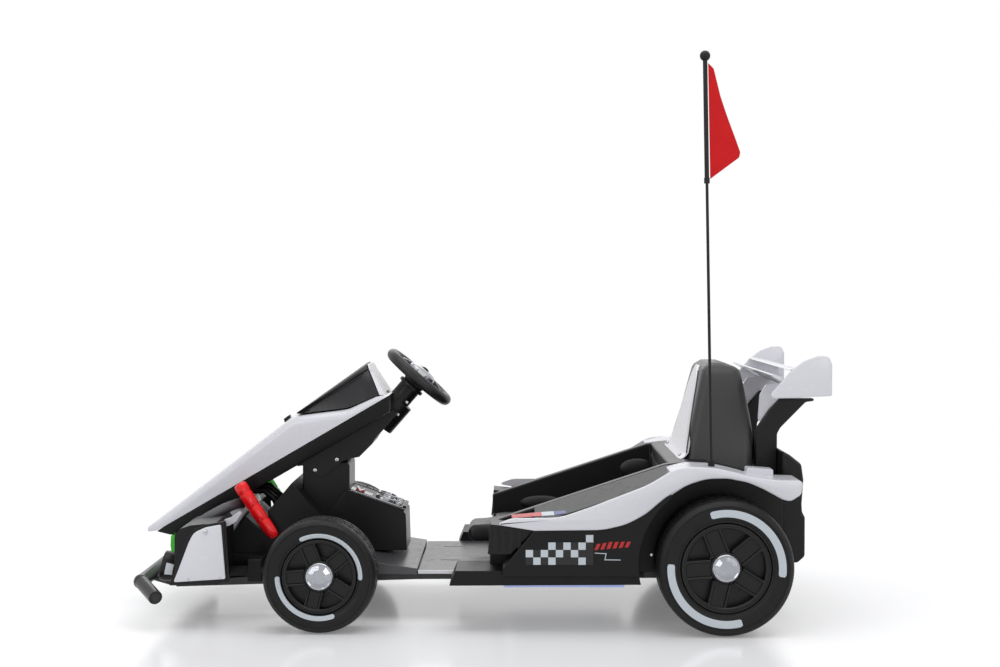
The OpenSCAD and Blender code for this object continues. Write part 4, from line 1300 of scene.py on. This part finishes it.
def build_covers():
    """Small covers along the rails behind the front housings"""
    block = slab(fillet([(386, 72), (386, 112), (412, 112), (412, 72)], 2), 150, 204)
    strip = slab([(392, 75), (392, 93), (452, 93), (452, 70)], 148, 162)
    piece("rail_covers", both(joined(block, strip)), BLACK_SIDE, bevel=1.5)


def build_lamps():
    """Ring, reflector and side window of each front lamp"""
    tilt = math.radians(78)
    way = Vector((math.sin(tilt), 0, math.cos(tilt)))
    base = Vector((527, 232, 100))
    ring = turned(lathe([(30, 26.6), (31.2, 25.8), (31.2, 21.4), (29.6, 20.2), (24, 19.4), (24, 22),
                         (29, 23)], 64, close=True), way, base)
    piece("lamp_rings", both(ring), BLACK, sharp=40)
    dome = turned(lathe([(25, 18.4), (27.5, 16.5), (29, 11), (29.6, 0.4)], 48), way, base)
    up = Vector((-way.z, 0, way.x))
    window = []
    steps, n = 8, 9
    for high in (0.2, 1.2):
        for far in (9.0, 22.0):
            for k in range(n):
                a = math.radians(-22 + 44 * k / steps)
                r = 22 + 5 * far / 22 + high
                window.append(base + way * far + (Vector((0, 1, 0)) * math.cos(a) + up * math.sin(a)) * r)
    faces = [(i, i + 1, i + n + 1, i + n) for i in range(steps)]
    faces += [(i + 2 * n, i + 3 * n, i + 3 * n + 1, i + 2 * n + 1) for i in range(steps)]
    faces += [(i, i + 2 * n, i + 2 * n + 1, i + 1) for i in range(steps)]
    faces += [(i + n, i + n + 1, i + 3 * n + 1, i + 3 * n) for i in range(steps)]
    faces += [(0, n, 3 * n, 2 * n), (n - 1, 3 * n - 1, 4 * n - 1, 2 * n - 1)]
    piece("lamp_domes", both(joined(dome, (window, faces))), LENS)


build_struts()
build_hood()
build_covers()
build_console()
build_screws()
build_lamps()


# Flag

FLAG_Y = 288.0
FLAG_TOP = 990
FLAG_TALL = 200
FLAG_HOIST = -404.4
FLAG_REACH = 57.0
FLAG_ROWS = 60
FLAG_COLUMNS = 22


def flag_wave(away, z):
    """How far the cloth stands off its plane at a share of the way out and a height"""
    return 3.2 * away * math.sin(0.045 * (FLAG_TOP - z) + 3.2 * away) + 1.4 * away * math.sin(0.11 * z)


def flag_fly(z):
    """Outer edge of the pennant at a height"""
    table = [(990, -404.9), (981, -414), (933, -426), (872, -447), (836, -461), (827, -459), (790, -409.2)]
    for (z0, x0), (z1, x1) in zip(table, table[1:]):
        if z >= z1:
            return x0 + (x1 - x0) * (z0 - z) / (z0 - z1)
    return table[-1][1]


def build_flag():
    """Pennant cloth with soft folds that grow away from the pole"""
    verts = []
    for k in range(FLAG_ROWS + 1):
        z = FLAG_TOP - FLAG_TALL * k / FLAG_ROWS
        hoist = FLAG_HOIST - 4.2 * k / FLAG_ROWS
        fly = min(flag_fly(z), hoist - 0.4)
        for m in range(FLAG_COLUMNS + 1):
            s = m / FLAG_COLUMNS
            x = hoist + (fly - hoist) * s
            verts.append((x, FLAG_Y + flag_wave((hoist - x) / FLAG_REACH, z), z))
    n = FLAG_COLUMNS + 1
    faces = [(k * n + i, k * n + i + 1, (k + 1) * n + i + 1, (k + 1) * n + i)
             for k in range(FLAG_ROWS) for i in range(FLAG_COLUMNS)]
    cloth = piece("flag_cloth", (verts, faces), PENNANT, stands_for=("flag",), sharp=80)
    body = cloth.modifiers.new("Cloth thickness", "SOLIDIFY")
    body.thickness = 0.0009
    body.offset = 0.0
    hem = [(flag_fly(z) + 1.6, FLAG_Y + flag_wave((FLAG_HOIST - flag_fly(z)) / FLAG_REACH, z), z)
           for z in range(978, 836, -6)]
    piece("flag_hem", sweep(hem, 0.7, 6), PENNANT)


build_flag()


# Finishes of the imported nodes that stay

FINISHES = {
    "chassis_frame": (PAINT_BLACK, 1.0), "bumper": (PAINT_BLACK, 0.0), "front_housings": (BLACK, 2.0),
    "lamp_pods": (BLACK, 0.8), "lamp_lenses": (LENS, 0.0),
    "front_grille": (GREEN, 1.2),
    "nose_bracket": (BLACK, 1.5), "column_housing": (BLACK, 1.0), "pillar": (BLACK, 2.0),
    "front_boxes": (BLACK_SIDE, 2.0), "console_box": (BLACK, 3.0), "console_panel": (BLACK, 0.8),
    "rocker_switch": (RED_DARK, 0.8), "floor_front": (FLOOR_GREY, 1.5), "floor_rear": (FLOOR_GREY, 1.0),
    "floor_strips": (STEEL, 0.8), "pedal": (BLACK, 1.0), "tub": (BLACK, 3.0), "side_pods": (BLACK_SIDE, 1.5),
    "side_skirts": (BLACK_SIDE, 1.5), "pod_panels": (WHITE, 1.5), "rib_blocks": (BLACK, 1.5),
    "glow_strips": (GLOW, 0.8), "wing_posts": (BLACK, 3.0), "rear_cover": (BLACK, 4.0),
    "motors": (MOTOR_GREY, 3.0), "battery": (MOTOR_GREY, 1.0), "rear_axle": (STEEL, 0.0),
    "flag_pole": (BLACK, 0.0), "tie_rod": (STEEL, 0.6), "knuckle_left": (STEEL, 0.6),
    "knuckle_right": (STEEL, 0.6),
}
for node_name, (node_finish, node_bevel) in FINISHES.items():
    dress(node_name, node_finish, node_bevel)
